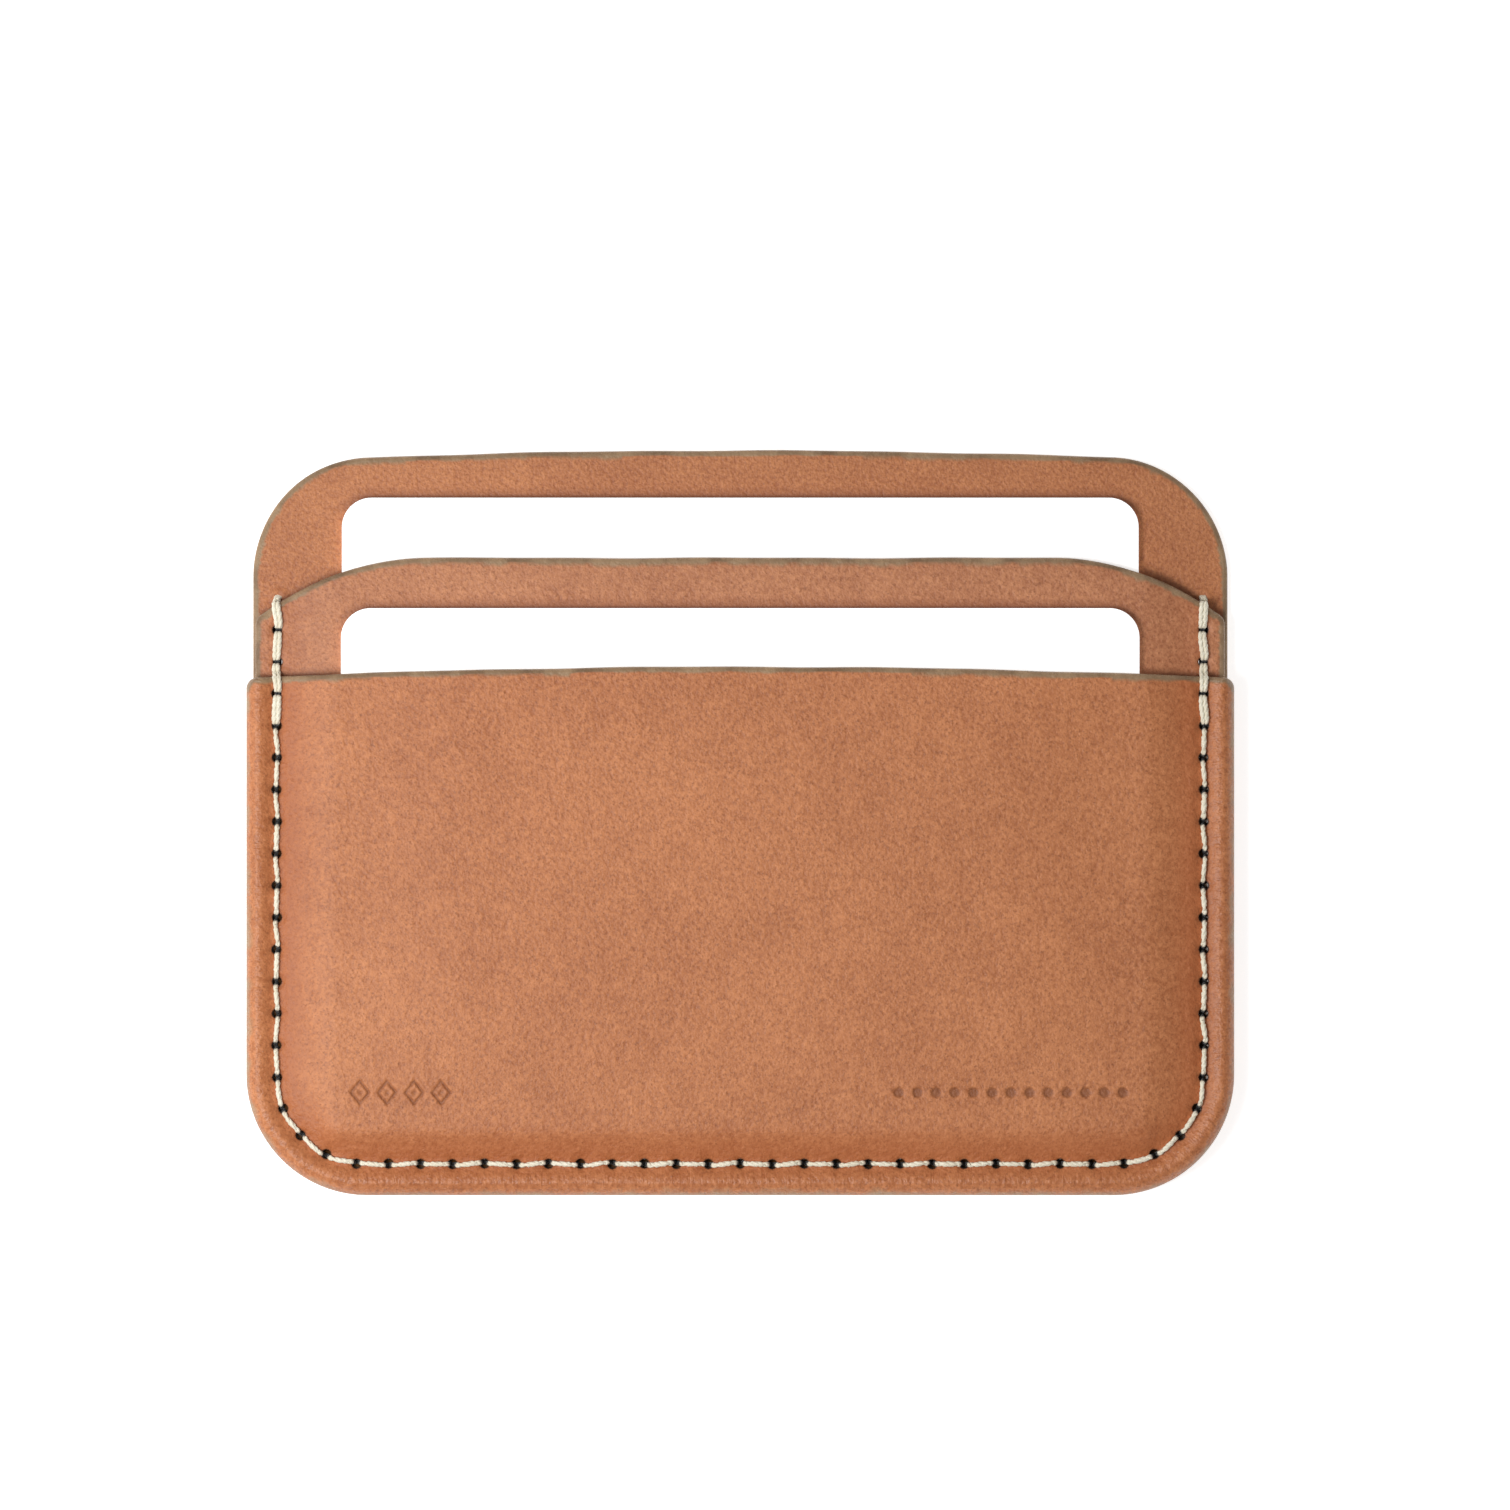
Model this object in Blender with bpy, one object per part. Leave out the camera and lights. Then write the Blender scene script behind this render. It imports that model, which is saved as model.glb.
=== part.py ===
"""Leather card holder with two pockets, each holding one blank card.

The holder lies on its back: +Z is up, out of the front panel, and +Y runs from the closed
bottom edge to the pocket mouths.  The world origin is under the middle of the outline.
Three full-height leather panels are cemented at their rim and sewn round a U seam with a
lockstitch.  Everything is drawn in millimetres from the middle of the bottom edge, and the
parent empty carries it to its place in metres.
"""

import math

import bmesh
import bpy
from mathutils import Vector
from mathutils.geometry import delaunay_2d_cdt

MM = 0.001

# Outline, from the middle of the bottom edge
HOLDER_HEIGHT = 80.0
BACK_HALF_WIDTH = 52.4
BACK_TOP_ARC = 1064.0        # radius of the gentle curve along the top edge
BACK_TOP_CORNER = 11.5
BACK_FOOT = 0.4              # the inner panels stop a little short of the front panel's foot
MIDDLE_HALF_WIDTH = 52.05
MIDDLE_HEIGHT = 68.4
SHOULDER_START = 34.0        # the middle panel's top edge is level to here, then it falls away
SHOULDER_DROP = 6.5
MIDDLE_TOP_CORNER = 1.5
MIDDLE_TOP_TURN = 54.0       # degrees, because the shoulder meets the side at a slant
FRONT_HALF_WIDTH = 53.0
FRONT_HEIGHT = 56.7
FRONT_TOP_ARC = 1170.0
FRONT_TOP_CORNER = 1.2
FOOT_CORNER = 13.0           # radius of the front panel's bottom corners

# Leather, seam and pockets
LEATHER = 1.2
EDGE_ROUND = 0.3             # bevel of the burnished edges
SEAM_GAP = 0.4               # room for the cement between two panels
CEMENT = 0.2
CEMENT_INNER = 0.8          # the cement runs from here to CEMENT_OUTER, outside the stitch line
CEMENT_OUTER = 1.9
REAR_CEMENT_TOP = 61.0
FRONT_CEMENT_TOP = 54.6

# Cards, to the usual bank card size
CARD_WIDTH = 85.6
CARD_HEIGHT = 53.98
CARD_THICKNESS = 0.76
CARD_CORNER = 3.18
CARD_PLAY = 0.15             # clearance on each side of a card
REAR_CARD_FOOT = 20.9
FRONT_CARD_FOOT = 9.0
POCKET_HALF_WIDTH = 43.1     # the leather is swollen to its full height over this room
POCKET_FOOT = 7.3
POCKET_CORNER = 1.5

# Stitching
STITCH_COUNT = 62
SEAM_HALF_WIDTH = 49.7
SEAM_FOOT = 3.4
SEAM_CORNER = 9.6
SEAM_TOP = 64.1
HOLE_RADIUS = 0.54
HOLE_SIDES = 6
HOLE_WANDER = 0.04           # the holes are punched by hand, so they stray to either side
HOLE_BEAT = 2.4              # radians of the straying from one hole to the next
THREAD_HALF_WIDTH = 0.30     # the thread is pressed flat
THREAD_HALF_HEIGHT = 0.18
THREAD_SIDES = 6
THREAD_CLEARANCE = 0.07
STRAND_OFFSET = 0.24         # of the thread's two strands from the middle of a hole
BEND_OFFSET = 0.40           # where the thread leaves the surface for a hole
LOCK_OFFSET = 0.25           # of each thread from the depth where the two threads lock
STRAND_SINK = 0.05           # depth in the hole's mouth at which a strand turns down
STEP_GAP = 0.32              # room between the thread and a panel's edge that it climbs
STEP_LANDING = 0.15          # past that edge, where the thread has reached the panel's face
STEP_ARCH = 0.35             # height of the thread there over its usual lie
VALLEY_DEPTH = 0.25          # the front panel is drawn down along the stitches
VALLEY_FLAT = 0.85           # half-width of the drawn-down band
VALLEY_EDGE = 1.6
CHANNEL_DEPTH = 0.5          # sewing channel in the back face, which the rear thread lies in
CHANNEL_FLAT = 0.75
CHANNEL_EDGE = 1.0

ARC_STEPS = 6
SLOPE_STEPS = 5
PLATEAU_STATIONS = (0.0, 14.0, 28.0, 34.5, 38.0, 41.0)   # further points of a top edge

SEAM_RISE = CARD_THICKNESS + 2 * CARD_PLAY - SEAM_GAP
MIDDLE_BASE = LEATHER + SEAM_GAP
FRONT_BASE = MIDDLE_BASE + LEATHER + SEAM_GAP


def srgb(red, green, blue):
    """Linear colour from 8-bit display values."""
    return tuple((value / 255.0) ** 2.2 for value in (red, green, blue)) + (1.0,)


def finish(name, colour, roughness, metallic=0.0):
    """Principled material of one sub-part."""
    material = bpy.data.materials.new(name)
    material.use_nodes = True
    shader = material.node_tree.nodes["Principled BSDF"]
    shader.inputs["Base Color"].default_value = colour
    shader.inputs["Roughness"].default_value = roughness
    shader.inputs["Metallic"].default_value = metallic
    return material


# ---------------------------------------------------------------- outlines

def back_top(x):
    """Height of the back panel's top edge."""
    return HOLDER_HEIGHT - x * x / (2 * BACK_TOP_ARC)


def middle_top(x):
    """Height of the middle panel's top edge, level with falling shoulders."""
    reach = max(0.0, abs(x) - SHOULDER_START) / (MIDDLE_HALF_WIDTH - SHOULDER_START)
    return MIDDLE_HEIGHT - SHOULDER_DROP * reach ** 2


def front_top(x):
    """Height of the front panel's top edge."""
    return FRONT_HEIGHT - x * x / (2 * FRONT_TOP_ARC)


def arc(centre_x, centre_y, radius, start, end, steps=ARC_STEPS):
    """Points on an arc, angles in degrees."""
    angles = [math.radians(start + (end - start) * i / steps) for i in range(steps + 1)]
    return [(centre_x + radius * math.cos(a), centre_y + radius * math.sin(a)) for a in angles]


def mirrored(points):
    """The same points on the other side of the middle, in the opposite order."""
    return [(-x, y) for x, y in reversed(points)]


def slope_lines():
    """Half-width, foot and corner of each line down the slope from a pocket to the seam."""
    rim = (SEAM_HALF_WIDTH - VALLEY_FLAT, SEAM_FOOT + VALLEY_FLAT, SEAM_CORNER - VALLEY_FLAT)
    room = (POCKET_HALF_WIDTH, POCKET_FOOT, POCKET_CORNER)
    steps = [i / SLOPE_STEPS for i in range(SLOPE_STEPS + 1)]
    return [tuple(a + (b - a) * f for a, b in zip(rim, room)) for f in steps]


def top_stations(limit):
    """Distances from the middle at which a top edge has a point, widest first."""
    widths = [line[0] for line in slope_lines()]
    widths += [SEAM_HALF_WIDTH + VALLEY_FLAT, SEAM_HALF_WIDTH + VALLEY_EDGE]
    widths += PLATEAU_STATIONS
    return sorted((w for w in widths if w < limit - EDGE_ROUND), reverse=True)


def outline(half_width, foot, top_edge, top_corner, top_turn=90.0, inset=0.0):
    """Closed loop round a panel, counter-clockwise, set in from its edge by inset."""
    side = half_width - inset
    corner = FOOT_CORNER - (FRONT_HALF_WIDTH - half_width) - inset
    radius = top_corner - inset
    foot_arc = arc(side - corner, foot + inset + corner, corner, 270.0, 360.0)
    end_x = side - radius + radius * math.cos(math.radians(top_turn))
    centre_y = top_edge(end_x) - inset - radius * math.sin(math.radians(top_turn))
    top_arc = arc(side - radius, centre_y, radius, 0.0, top_turn)
    stations = [(x, top_edge(x) - inset) for x in top_stations(end_x) if x > 0.0]
    right = foot_arc + top_arc + stations
    return right + [(0.0, top_edge(0.0) - inset)] + mirrored(right)


def u_line(half_width, foot, corner, top):
    """Open line from height top down the left side, along the bottom and up the right side."""
    right = arc(half_width - corner, foot + corner, corner, 270.0, 360.0)
    right.append((half_width, top))
    return mirrored(right) + right


def seam_line(offset, top):
    """U line that keeps the given distance outside the stitch line."""
    return u_line(SEAM_HALF_WIDTH + offset, SEAM_FOOT - offset, SEAM_CORNER + offset, top)


def band_loop(inner, outer, top):
    """Closed loop of a U-shaped band beside the stitch line, open ends at height top."""
    return seam_line(outer, top) + seam_line(inner, top)[::-1]


def seam_distance(x, y):
    """Distance outside the stitch line, negative inside, as if its sides ran on upwards."""
    centre_x = SEAM_HALF_WIDTH - SEAM_CORNER
    centre_y = SEAM_FOOT + SEAM_CORNER
    if y >= centre_y:
        return abs(x) - SEAM_HALF_WIDTH
    if abs(x) <= centre_x:
        return SEAM_FOOT - y
    return math.hypot(abs(x) - centre_x, centre_y - y) - SEAM_CORNER


def seam_point(s):
    """Point and direction at length s along the stitch line, from its left top end."""
    side = SEAM_TOP - SEAM_FOOT - SEAM_CORNER
    quarter = math.pi / 2 * SEAM_CORNER
    bottom = 2 * (SEAM_HALF_WIDTH - SEAM_CORNER)
    if s > side + quarter + bottom / 2:
        (x, y), (dx, dy) = seam_point(2 * (side + quarter) + bottom - s)
        return (-x, y), (dx, -dy)
    if s <= side:
        return (-SEAM_HALF_WIDTH, SEAM_TOP - s), (0.0, -1.0)
    if s <= side + quarter:
        turn = (s - side) / SEAM_CORNER
        x = -SEAM_HALF_WIDTH + SEAM_CORNER * (1 - math.cos(turn))
        y = SEAM_FOOT + SEAM_CORNER * (1 - math.sin(turn))
        return (x, y), (math.sin(turn), -math.cos(turn))
    return (-SEAM_HALF_WIDTH + SEAM_CORNER + s - side - quarter, SEAM_FOOT), (1.0, 0.0)


SEAM_LENGTH = (2 * (SEAM_TOP - SEAM_FOOT - SEAM_CORNER) + math.pi * SEAM_CORNER
               + 2 * (SEAM_HALF_WIDTH - SEAM_CORNER))
PITCH = SEAM_LENGTH / STITCH_COUNT


def hole_loops(top_edge):
    """One six-sided thread hole at each stitch end that lies in the panel."""
    loops = []
    for k in range(STITCH_COUNT + 1):
        (x, y), (dx, dy) = seam_point(k * PITCH)
        if y > top_edge(x) - HOLE_RADIUS:
            continue
        stray = HOLE_WANDER * math.sin(HOLE_BEAT * k)
        x, y = x + stray * dy, y - stray * dx
        start = math.degrees(math.atan2(dy, dx)) + 180.0 / HOLE_SIDES
        loops.append(arc(x, y, HOLE_RADIUS, start, start + 360.0, HOLE_SIDES)[:-1])
    return loops


# ---------------------------------------------------------------- heights

def swell(x, y):
    """Share of the full pocket rise at a point: 0 at the seam, 1 over the card's room."""
    from_seam = max(0.0, -seam_distance(x, y) - VALLEY_FLAT)
    beside = max(0.0, abs(x) - POCKET_HALF_WIDTH)
    below = max(0.0, POCKET_FOOT - y)
    if from_seam == 0.0:
        return 0.0
    share = from_seam / (from_seam + math.hypot(beside, below))
    return share * share * (3.0 - 2.0 * share)


def middle_underside(x, y):
    """Lower face of the middle panel."""
    return MIDDLE_BASE + SEAM_RISE * swell(x, y)


def middle_face(x, y):
    """Upper face of the middle panel."""
    return middle_underside(x, y) + LEATHER


def front_underside(x, y):
    """Lower face of the front panel, which both cards lift."""
    return FRONT_BASE + 2 * SEAM_RISE * swell(x, y)


def front_face(x, y):
    """Upper face of the front panel, drawn down along the stitches."""
    away = abs(seam_distance(x, y))
    draw = min(1.0, max(0.0, (VALLEY_EDGE - away) / (VALLEY_EDGE - VALLEY_FLAT)))
    return front_underside(x, y) + LEATHER - VALLEY_DEPTH * draw


def back_underside(x, y):
    """Lower face of the back panel, with the sewing channel."""
    away = abs(seam_distance(x, y))
    if y > SEAM_TOP:
        away = math.hypot(abs(x) - SEAM_HALF_WIDTH, y - SEAM_TOP)
    cut = min(1.0, max(0.0, (CHANNEL_EDGE - away) / (CHANNEL_EDGE - CHANNEL_FLAT)))
    return CHANNEL_DEPTH * cut


def back_face(x, y):
    """Upper face of the back panel, which is flat."""
    return LEATHER


# ---------------------------------------------------------------- solids

def inside(x, y, loop):
    """True if the point lies within the closed loop."""
    crossings = 0
    for (ax, ay), (bx, by) in zip(loop, loop[1:] + loop[:1]):
        if (ay > y) != (by > y) and x < ax + (bx - ax) * (y - ay) / (by - ay):
            crossings += 1
    return crossings % 2 == 1


def sheet_solid(rim, underside, face, holes=(), lines=(), inner_rim=None):
    """Closed sheet between two height functions, within rim and outside the holes.

    Where inner_rim gives the loop that the flat ends at, the rim is bevelled by EDGE_ROUND.
    """
    points, edges = [], []

    def add(chain, closed):
        first = len(points)
        points.extend(Vector(p) for p in chain)
        last = len(points) - 1
        edges.extend((i, i + 1) for i in range(first, last))
        if closed:
            edges.append((last, first))

    add(rim, True)
    if inner_rim:
        add(inner_rim, True)
    for hole in holes:
        add(hole, True)
    for line in lines:
        add(line, False)
    flat, _, faces, origins, _, _ = delaunay_2d_cdt(points, edges, [], 0, 1e-6)

    bm = bmesh.new()
    low = [bm.verts.new((p.x, p.y, 0.0)) for p in flat]
    for face_corners in faces:
        x = sum(flat[i].x for i in face_corners) / 3
        y = sum(flat[i].y for i in face_corners) / 3
        if inside(x, y, rim) and not any(inside(x, y, hole) for hole in holes):
            bm.faces.new([low[i] for i in face_corners])
    on_rim = {low[i] for i, names in enumerate(origins)
              if inner_rim and any(name < len(rim) for name in names)}
    bmesh.ops.delete(bm, geom=[v for v in bm.verts if not v.link_faces], context="VERTS")
    on_rim = {v for v in on_rim if v.is_valid}
    copy = bmesh.ops.extrude_face_region(bm, geom=bm.faces[:], use_keep_orig=True)
    raised = {item for item in copy["geom"] if isinstance(item, bmesh.types.BMVert)}
    rim_places = {(v.co.x, v.co.y) for v in on_rim}
    for vert in bm.verts:
        x, y = vert.co.x, vert.co.y
        bevel = EDGE_ROUND if (x, y) in rim_places else 0.0
        vert.co.z = face(x, y) - bevel if vert in raised else underside(x, y) + bevel
    bmesh.ops.recalc_face_normals(bm, faces=bm.faces[:])
    return bm


def add_part(name, bm, material, parent, location=(0.0, 0.0, 0.0), smooth=30.0):
    """Object of a mesh drawn in millimetres, placed in the parent by its location."""
    bmesh.ops.scale(bm, vec=(MM, MM, MM), verts=bm.verts[:])
    mesh = bpy.data.meshes.new(name)
    bm.to_mesh(mesh)
    bm.free()
    mesh.materials.append(material)
    mesh.shade_smooth()
    mesh.set_sharp_from_angle(angle=math.radians(smooth))
    part = bpy.data.objects.new(name, mesh)
    bpy.context.scene.collection.objects.link(part)
    part.parent = parent
    part.location = Vector(location) * MM
    return part


def panel_lines(top_edge, offsets=()):
    """Lines that the mesh of a swollen panel follows, with others beside the stitch line."""
    shapes = slope_lines()
    shapes += [(SEAM_HALF_WIDTH + d, SEAM_FOOT - d, SEAM_CORNER + d) for d in offsets]
    return [u_line(*shape, top_edge(shape[0]) - EDGE_ROUND) for shape in shapes]


def make_back_panel(parent):
    """Flat back panel, with the sewing channel in its lower face."""
    shape = (BACK_HALF_WIDTH, BACK_FOOT, back_top, BACK_TOP_CORNER)
    lines = []
    for away in (CHANNEL_FLAT, CHANNEL_EDGE):
        outer = seam_line(away, SEAM_TOP)
        right_end = arc(SEAM_HALF_WIDTH, SEAM_TOP, away, 0.0, 180.0)[1:-1]
        inner = seam_line(-away, SEAM_TOP)[::-1]
        lines.append(outer + right_end + inner + mirrored(right_end) + outer[:1])
    bm = sheet_solid(outline(*shape), back_underside, back_face, hole_loops(back_top), lines,
                     outline(*shape, inset=EDGE_ROUND))
    add_part("back_panel", bm, finish("back_leather", srgb(186, 125, 88), 0.6), parent)


def make_middle_panel(parent):
    """Middle panel, lifted by the rear card."""
    shape = (MIDDLE_HALF_WIDTH, BACK_FOOT, middle_top, MIDDLE_TOP_CORNER, MIDDLE_TOP_TURN)
    bm = sheet_solid(outline(*shape), middle_underside, middle_face, hole_loops(middle_top),
                     panel_lines(middle_top), outline(*shape, inset=EDGE_ROUND))
    add_part("middle_panel", bm, finish("middle_leather", srgb(190, 129, 92), 0.6), parent)


def make_front_panel(parent):
    """Front panel, lifted by both cards and drawn down along the stitches."""
    shape = (FRONT_HALF_WIDTH, 0.0, front_top, FRONT_TOP_CORNER)
    lines = panel_lines(front_top, (VALLEY_FLAT, VALLEY_EDGE))
    bm = sheet_solid(outline(*shape), front_underside, front_face, hole_loops(front_top), lines,
                     outline(*shape, inset=EDGE_ROUND))
    add_part("front_panel", bm, finish("front_leather", srgb(198, 138, 102), 0.6), parent)


def make_cement(name, base, top, parent):
    """Thin U of contact cement between two panels, outside the stitch line."""
    low = base + (SEAM_GAP - CEMENT) / 2
    bm = sheet_solid(band_loop(CEMENT_INNER, CEMENT_OUTER, top),
                     lambda x, y: low, lambda x, y: low + CEMENT)
    add_part(name, bm, finish(name + "_film", srgb(196, 170, 120), 0.5), parent)


def make_card(name, foot, base, parent):
    """Blank plastic card, with its origin at its own middle."""
    half_width, half_height = CARD_WIDTH / 2, CARD_HEIGHT / 2
    corner = CARD_CORNER
    right = arc(half_width - corner, corner - half_height, corner, 270.0, 360.0)
    right += arc(half_width - corner, half_height - corner, corner, 0.0, 90.0)
    low = -CARD_THICKNESS / 2
    bm = sheet_solid(right + mirrored(right), lambda x, y: low, lambda x, y: -low)
    place = (0.0, foot + half_height, base + CARD_PLAY + CARD_THICKNESS / 2)
    add_part(name, bm, finish(name + "_plastic", srgb(250, 250, 250), 0.45), parent, place)


# ---------------------------------------------------------------- thread

def surface_at_hole(k):
    """Height of the uppermost leather at hole k."""
    (x, y), _ = seam_point(k * PITCH)
    if y < front_top(x) - HOLE_RADIUS:
        return front_face(x, y)
    if y < middle_top(x) - HOLE_RADIUS:
        return middle_face(x, y)
    return back_face(x, y)


def lock_depth(k):
    """Depth at which the two threads lock in hole k."""
    return (CHANNEL_DEPTH + surface_at_hole(k)) / 2


def step_position(top_edge):
    """Length along the stitch line at which a panel's top edge crosses it."""
    return SEAM_TOP - top_edge(SEAM_HALF_WIDTH)


def front_thread_half():
    """Stations (length, height) of the front thread from its start to the middle hole."""
    lie = THREAD_HALF_HEIGHT + THREAD_CLEARANCE
    steps = [step_position(middle_top), step_position(front_top)]
    stations = []
    for k in range(STITCH_COUNT // 2 + 1):
        s = k * PITCH
        top = surface_at_hole(k)
        if k > 0:
            stations.append((s - BEND_OFFSET, top + lie))
            stations.append((s - STRAND_OFFSET, top - STRAND_SINK))
        stations.append((s, lock_depth(k) + LOCK_OFFSET))
        if k == STITCH_COUNT // 2:
            break
        stations.append((s + STRAND_OFFSET, top - STRAND_SINK))
        step = next((p for p in steps if s < p < s + PITCH), None)
        if step is None or step - STEP_GAP > s + BEND_OFFSET:
            stations.append((s + BEND_OFFSET, top + lie))
        if step is not None:
            above = surface_at_hole(k + 1) + lie
            if step - STEP_GAP > s + BEND_OFFSET:
                stations.append((step - STEP_GAP, top + lie))
            stations.append((step - STEP_GAP, above))
            stations.append((step + STEP_LANDING, above + STEP_ARCH))
    return stations


def rear_thread_half():
    """Stations (length, height) of the rear thread, which lies in the sewing channel."""
    lie = CHANNEL_DEPTH - THREAD_HALF_HEIGHT - THREAD_CLEARANCE
    stations = []
    for k in range(STITCH_COUNT // 2 + 1):
        s = k * PITCH
        if k > 0:
            stations.append((s - BEND_OFFSET, lie))
            stations.append((s - STRAND_OFFSET, CHANNEL_DEPTH + STRAND_SINK))
        stations.append((s, lock_depth(k) - LOCK_OFFSET))
        if k == STITCH_COUNT // 2:
            break
        stations.append((s + STRAND_OFFSET, CHANNEL_DEPTH + STRAND_SINK))
        stations.append((s + BEND_OFFSET, lie))
    return stations


def make_thread(name, half, parent):
    """One continuous flat thread through the stations and their mirror image."""
    stations = half + [(SEAM_LENGTH - s, z) for s, z in reversed(half[:-1])]
    centres, sides = [], []
    for s, z in stations:
        (x, y), (dx, dy) = seam_point(s)
        centres.append(Vector((x, y, z)))
        sides.append(Vector((dy, -dx, 0.0)))
    bm = bmesh.new()
    rings = []
    for i, (centre, side) in enumerate(zip(centres, sides)):
        before = centres[max(i - 1, 0)]
        after = centres[min(i + 1, len(centres) - 1)]
        arrive = (centre - before).normalized()
        leave = (after - centre).normalized()
        along = (arrive + leave).normalized()
        up = along.cross(side).normalized() * -1.0
        ring = []
        for j in range(THREAD_SIDES):
            angle = 2 * math.pi * j / THREAD_SIDES
            ring.append(bm.verts.new(centre + side * THREAD_HALF_WIDTH * math.cos(angle)
                                     + up * THREAD_HALF_HEIGHT * math.sin(angle)))
        rings.append(ring)
    for ring, following in zip(rings, rings[1:]):
        for j in range(THREAD_SIDES):
            n = (j + 1) % THREAD_SIDES
            bm.faces.new((ring[j], ring[n], following[n], following[j]))
    bm.faces.new(rings[0])
    bm.faces.new(rings[-1])
    bmesh.ops.recalc_face_normals(bm, faces=bm.faces[:])
    add_part(name, bm, finish(name + "_yarn", srgb(238, 230, 205), 0.7), parent)


def build():
    """Clear the scene and model every sub-part."""
    for old in list(bpy.data.objects):
        bpy.data.objects.remove(old, do_unlink=True)
    holder = bpy.data.objects.new("card_holder", None)
    bpy.context.scene.collection.objects.link(holder)
    holder.location = (0.0, -HOLDER_HEIGHT / 2 * MM, 0.0)
    make_back_panel(holder)
    make_middle_panel(holder)
    make_front_panel(holder)
    make_cement("rear_cement", LEATHER, REAR_CEMENT_TOP, holder)
    make_cement("front_cement", MIDDLE_BASE + LEATHER, FRONT_CEMENT_TOP, holder)
    make_thread("front_thread", front_thread_half(), holder)
    make_thread("rear_thread", rear_thread_half(), holder)
    middle_plateau = MIDDLE_BASE + SEAM_RISE + LEATHER
    make_card("rear_card", REAR_CARD_FOOT, LEATHER, holder)
    make_card("front_card", FRONT_CARD_FOOT, middle_plateau, holder)
    bpy.context.view_layer.update()


build()
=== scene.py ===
"""Looks of a stitched leather card holder with two blank cards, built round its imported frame.

Every length below is in millimetres in the frame's own axes until a mesh is written, and MM
turns it into metres.  X is the width, +Y runs to the pocket mouths and +Z comes out of the face.
"""
import logging
import math
from dataclasses import dataclass, field
from enum import Enum
from typing import Callable, Sequence

import bmesh
import bpy
import numpy as np
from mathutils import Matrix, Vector
from mathutils.geometry import delaunay_2d_cdt


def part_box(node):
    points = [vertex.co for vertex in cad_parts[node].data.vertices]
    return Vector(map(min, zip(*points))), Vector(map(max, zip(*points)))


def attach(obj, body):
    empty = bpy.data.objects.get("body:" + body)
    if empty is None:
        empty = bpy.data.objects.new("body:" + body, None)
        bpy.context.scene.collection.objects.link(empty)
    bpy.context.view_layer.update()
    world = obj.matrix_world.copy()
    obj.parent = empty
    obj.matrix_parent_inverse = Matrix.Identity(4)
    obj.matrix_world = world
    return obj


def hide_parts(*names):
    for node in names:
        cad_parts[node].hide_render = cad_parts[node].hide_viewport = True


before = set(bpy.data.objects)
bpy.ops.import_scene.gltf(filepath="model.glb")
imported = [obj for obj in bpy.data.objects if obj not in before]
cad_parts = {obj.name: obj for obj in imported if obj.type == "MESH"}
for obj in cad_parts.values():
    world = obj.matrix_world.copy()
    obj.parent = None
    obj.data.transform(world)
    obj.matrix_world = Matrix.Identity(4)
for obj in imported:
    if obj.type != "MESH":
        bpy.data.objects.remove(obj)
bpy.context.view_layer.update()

MM = 0.001
LOG = logging.getLogger("card_holder")

Array = np.ndarray
Point = tuple[float, float]
Colour = tuple[float, float, float, float]
WHITE: Colour = (1.0, 1.0, 1.0, 1.0)


# ------------------------------------------------------------------ small helpers

def srgb(red: int, green: int, blue: int) -> Colour:
    """Linear colour of an 8-bit display colour.

    Args:
        red: Red from 0 to 255.
        green: Green from 0 to 255.
        blue: Blue from 0 to 255.

    Returns:
        The colour with full cover as its fourth part.
    """
    def linear(value: int) -> float:
        """One channel on the display curve."""
        share = value / 255.0
        return share / 12.92 if share <= 0.04045 else ((share + 0.055) / 1.055) ** 2.4
    return (linear(red), linear(green), linear(blue), 1.0)


def smooth(share: Array) -> Array:
    """Ease from 0 to 1, level at both ends."""
    share = np.clip(share, 0.0, 1.0)
    return share * share * (3.0 - 2.0 * share)


def ramp(value: Array, start: float, width: float) -> Array:
    """Ease from 0 at start to 1 at a width past it."""
    return smooth((value - start) / width)


def bell(distance: Array, width: float) -> Array:
    """Rounded bump of height 1 that fades out over width."""
    return np.exp(-(distance / width) ** 2)


def arc(centre: Point, radius: float, start: float, end: float, steps: int) -> list[Point]:
    """Points on an arc.

    Args:
        centre: Middle of the arc.
        radius: Its radius.
        start: First angle in degrees.
        end: Last angle in degrees.
        steps: Number of chords.

    Returns:
        The steps + 1 points from start to end.
    """
    angles = np.radians(np.linspace(start, end, steps + 1))
    return [(centre[0] + radius * math.cos(a), centre[1] + radius * math.sin(a)) for a in angles]


def mirrored(points: Sequence[Point]) -> list[Point]:
    """The same points on the other side of the middle, in the opposite order."""
    return [(-x, y) for x, y in reversed(points)]


def spaced(points: Sequence[Point], step: float) -> list[Point]:
    """A closed loop with further points on its edges.

    Args:
        points: The loop.
        step: Length that no edge of the result is much longer than.

    Returns:
        The finer loop.
    """
    loop: list[Point] = []
    for (ax, ay), (bx, by) in zip(points, list(points[1:]) + [points[0]]):
        count = max(1, round(math.hypot(bx - ax, by - ay) / step))
        loop += [(ax + (bx - ax) * i / count, ay + (by - ay) * i / count) for i in range(count)]
    return loop


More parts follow.
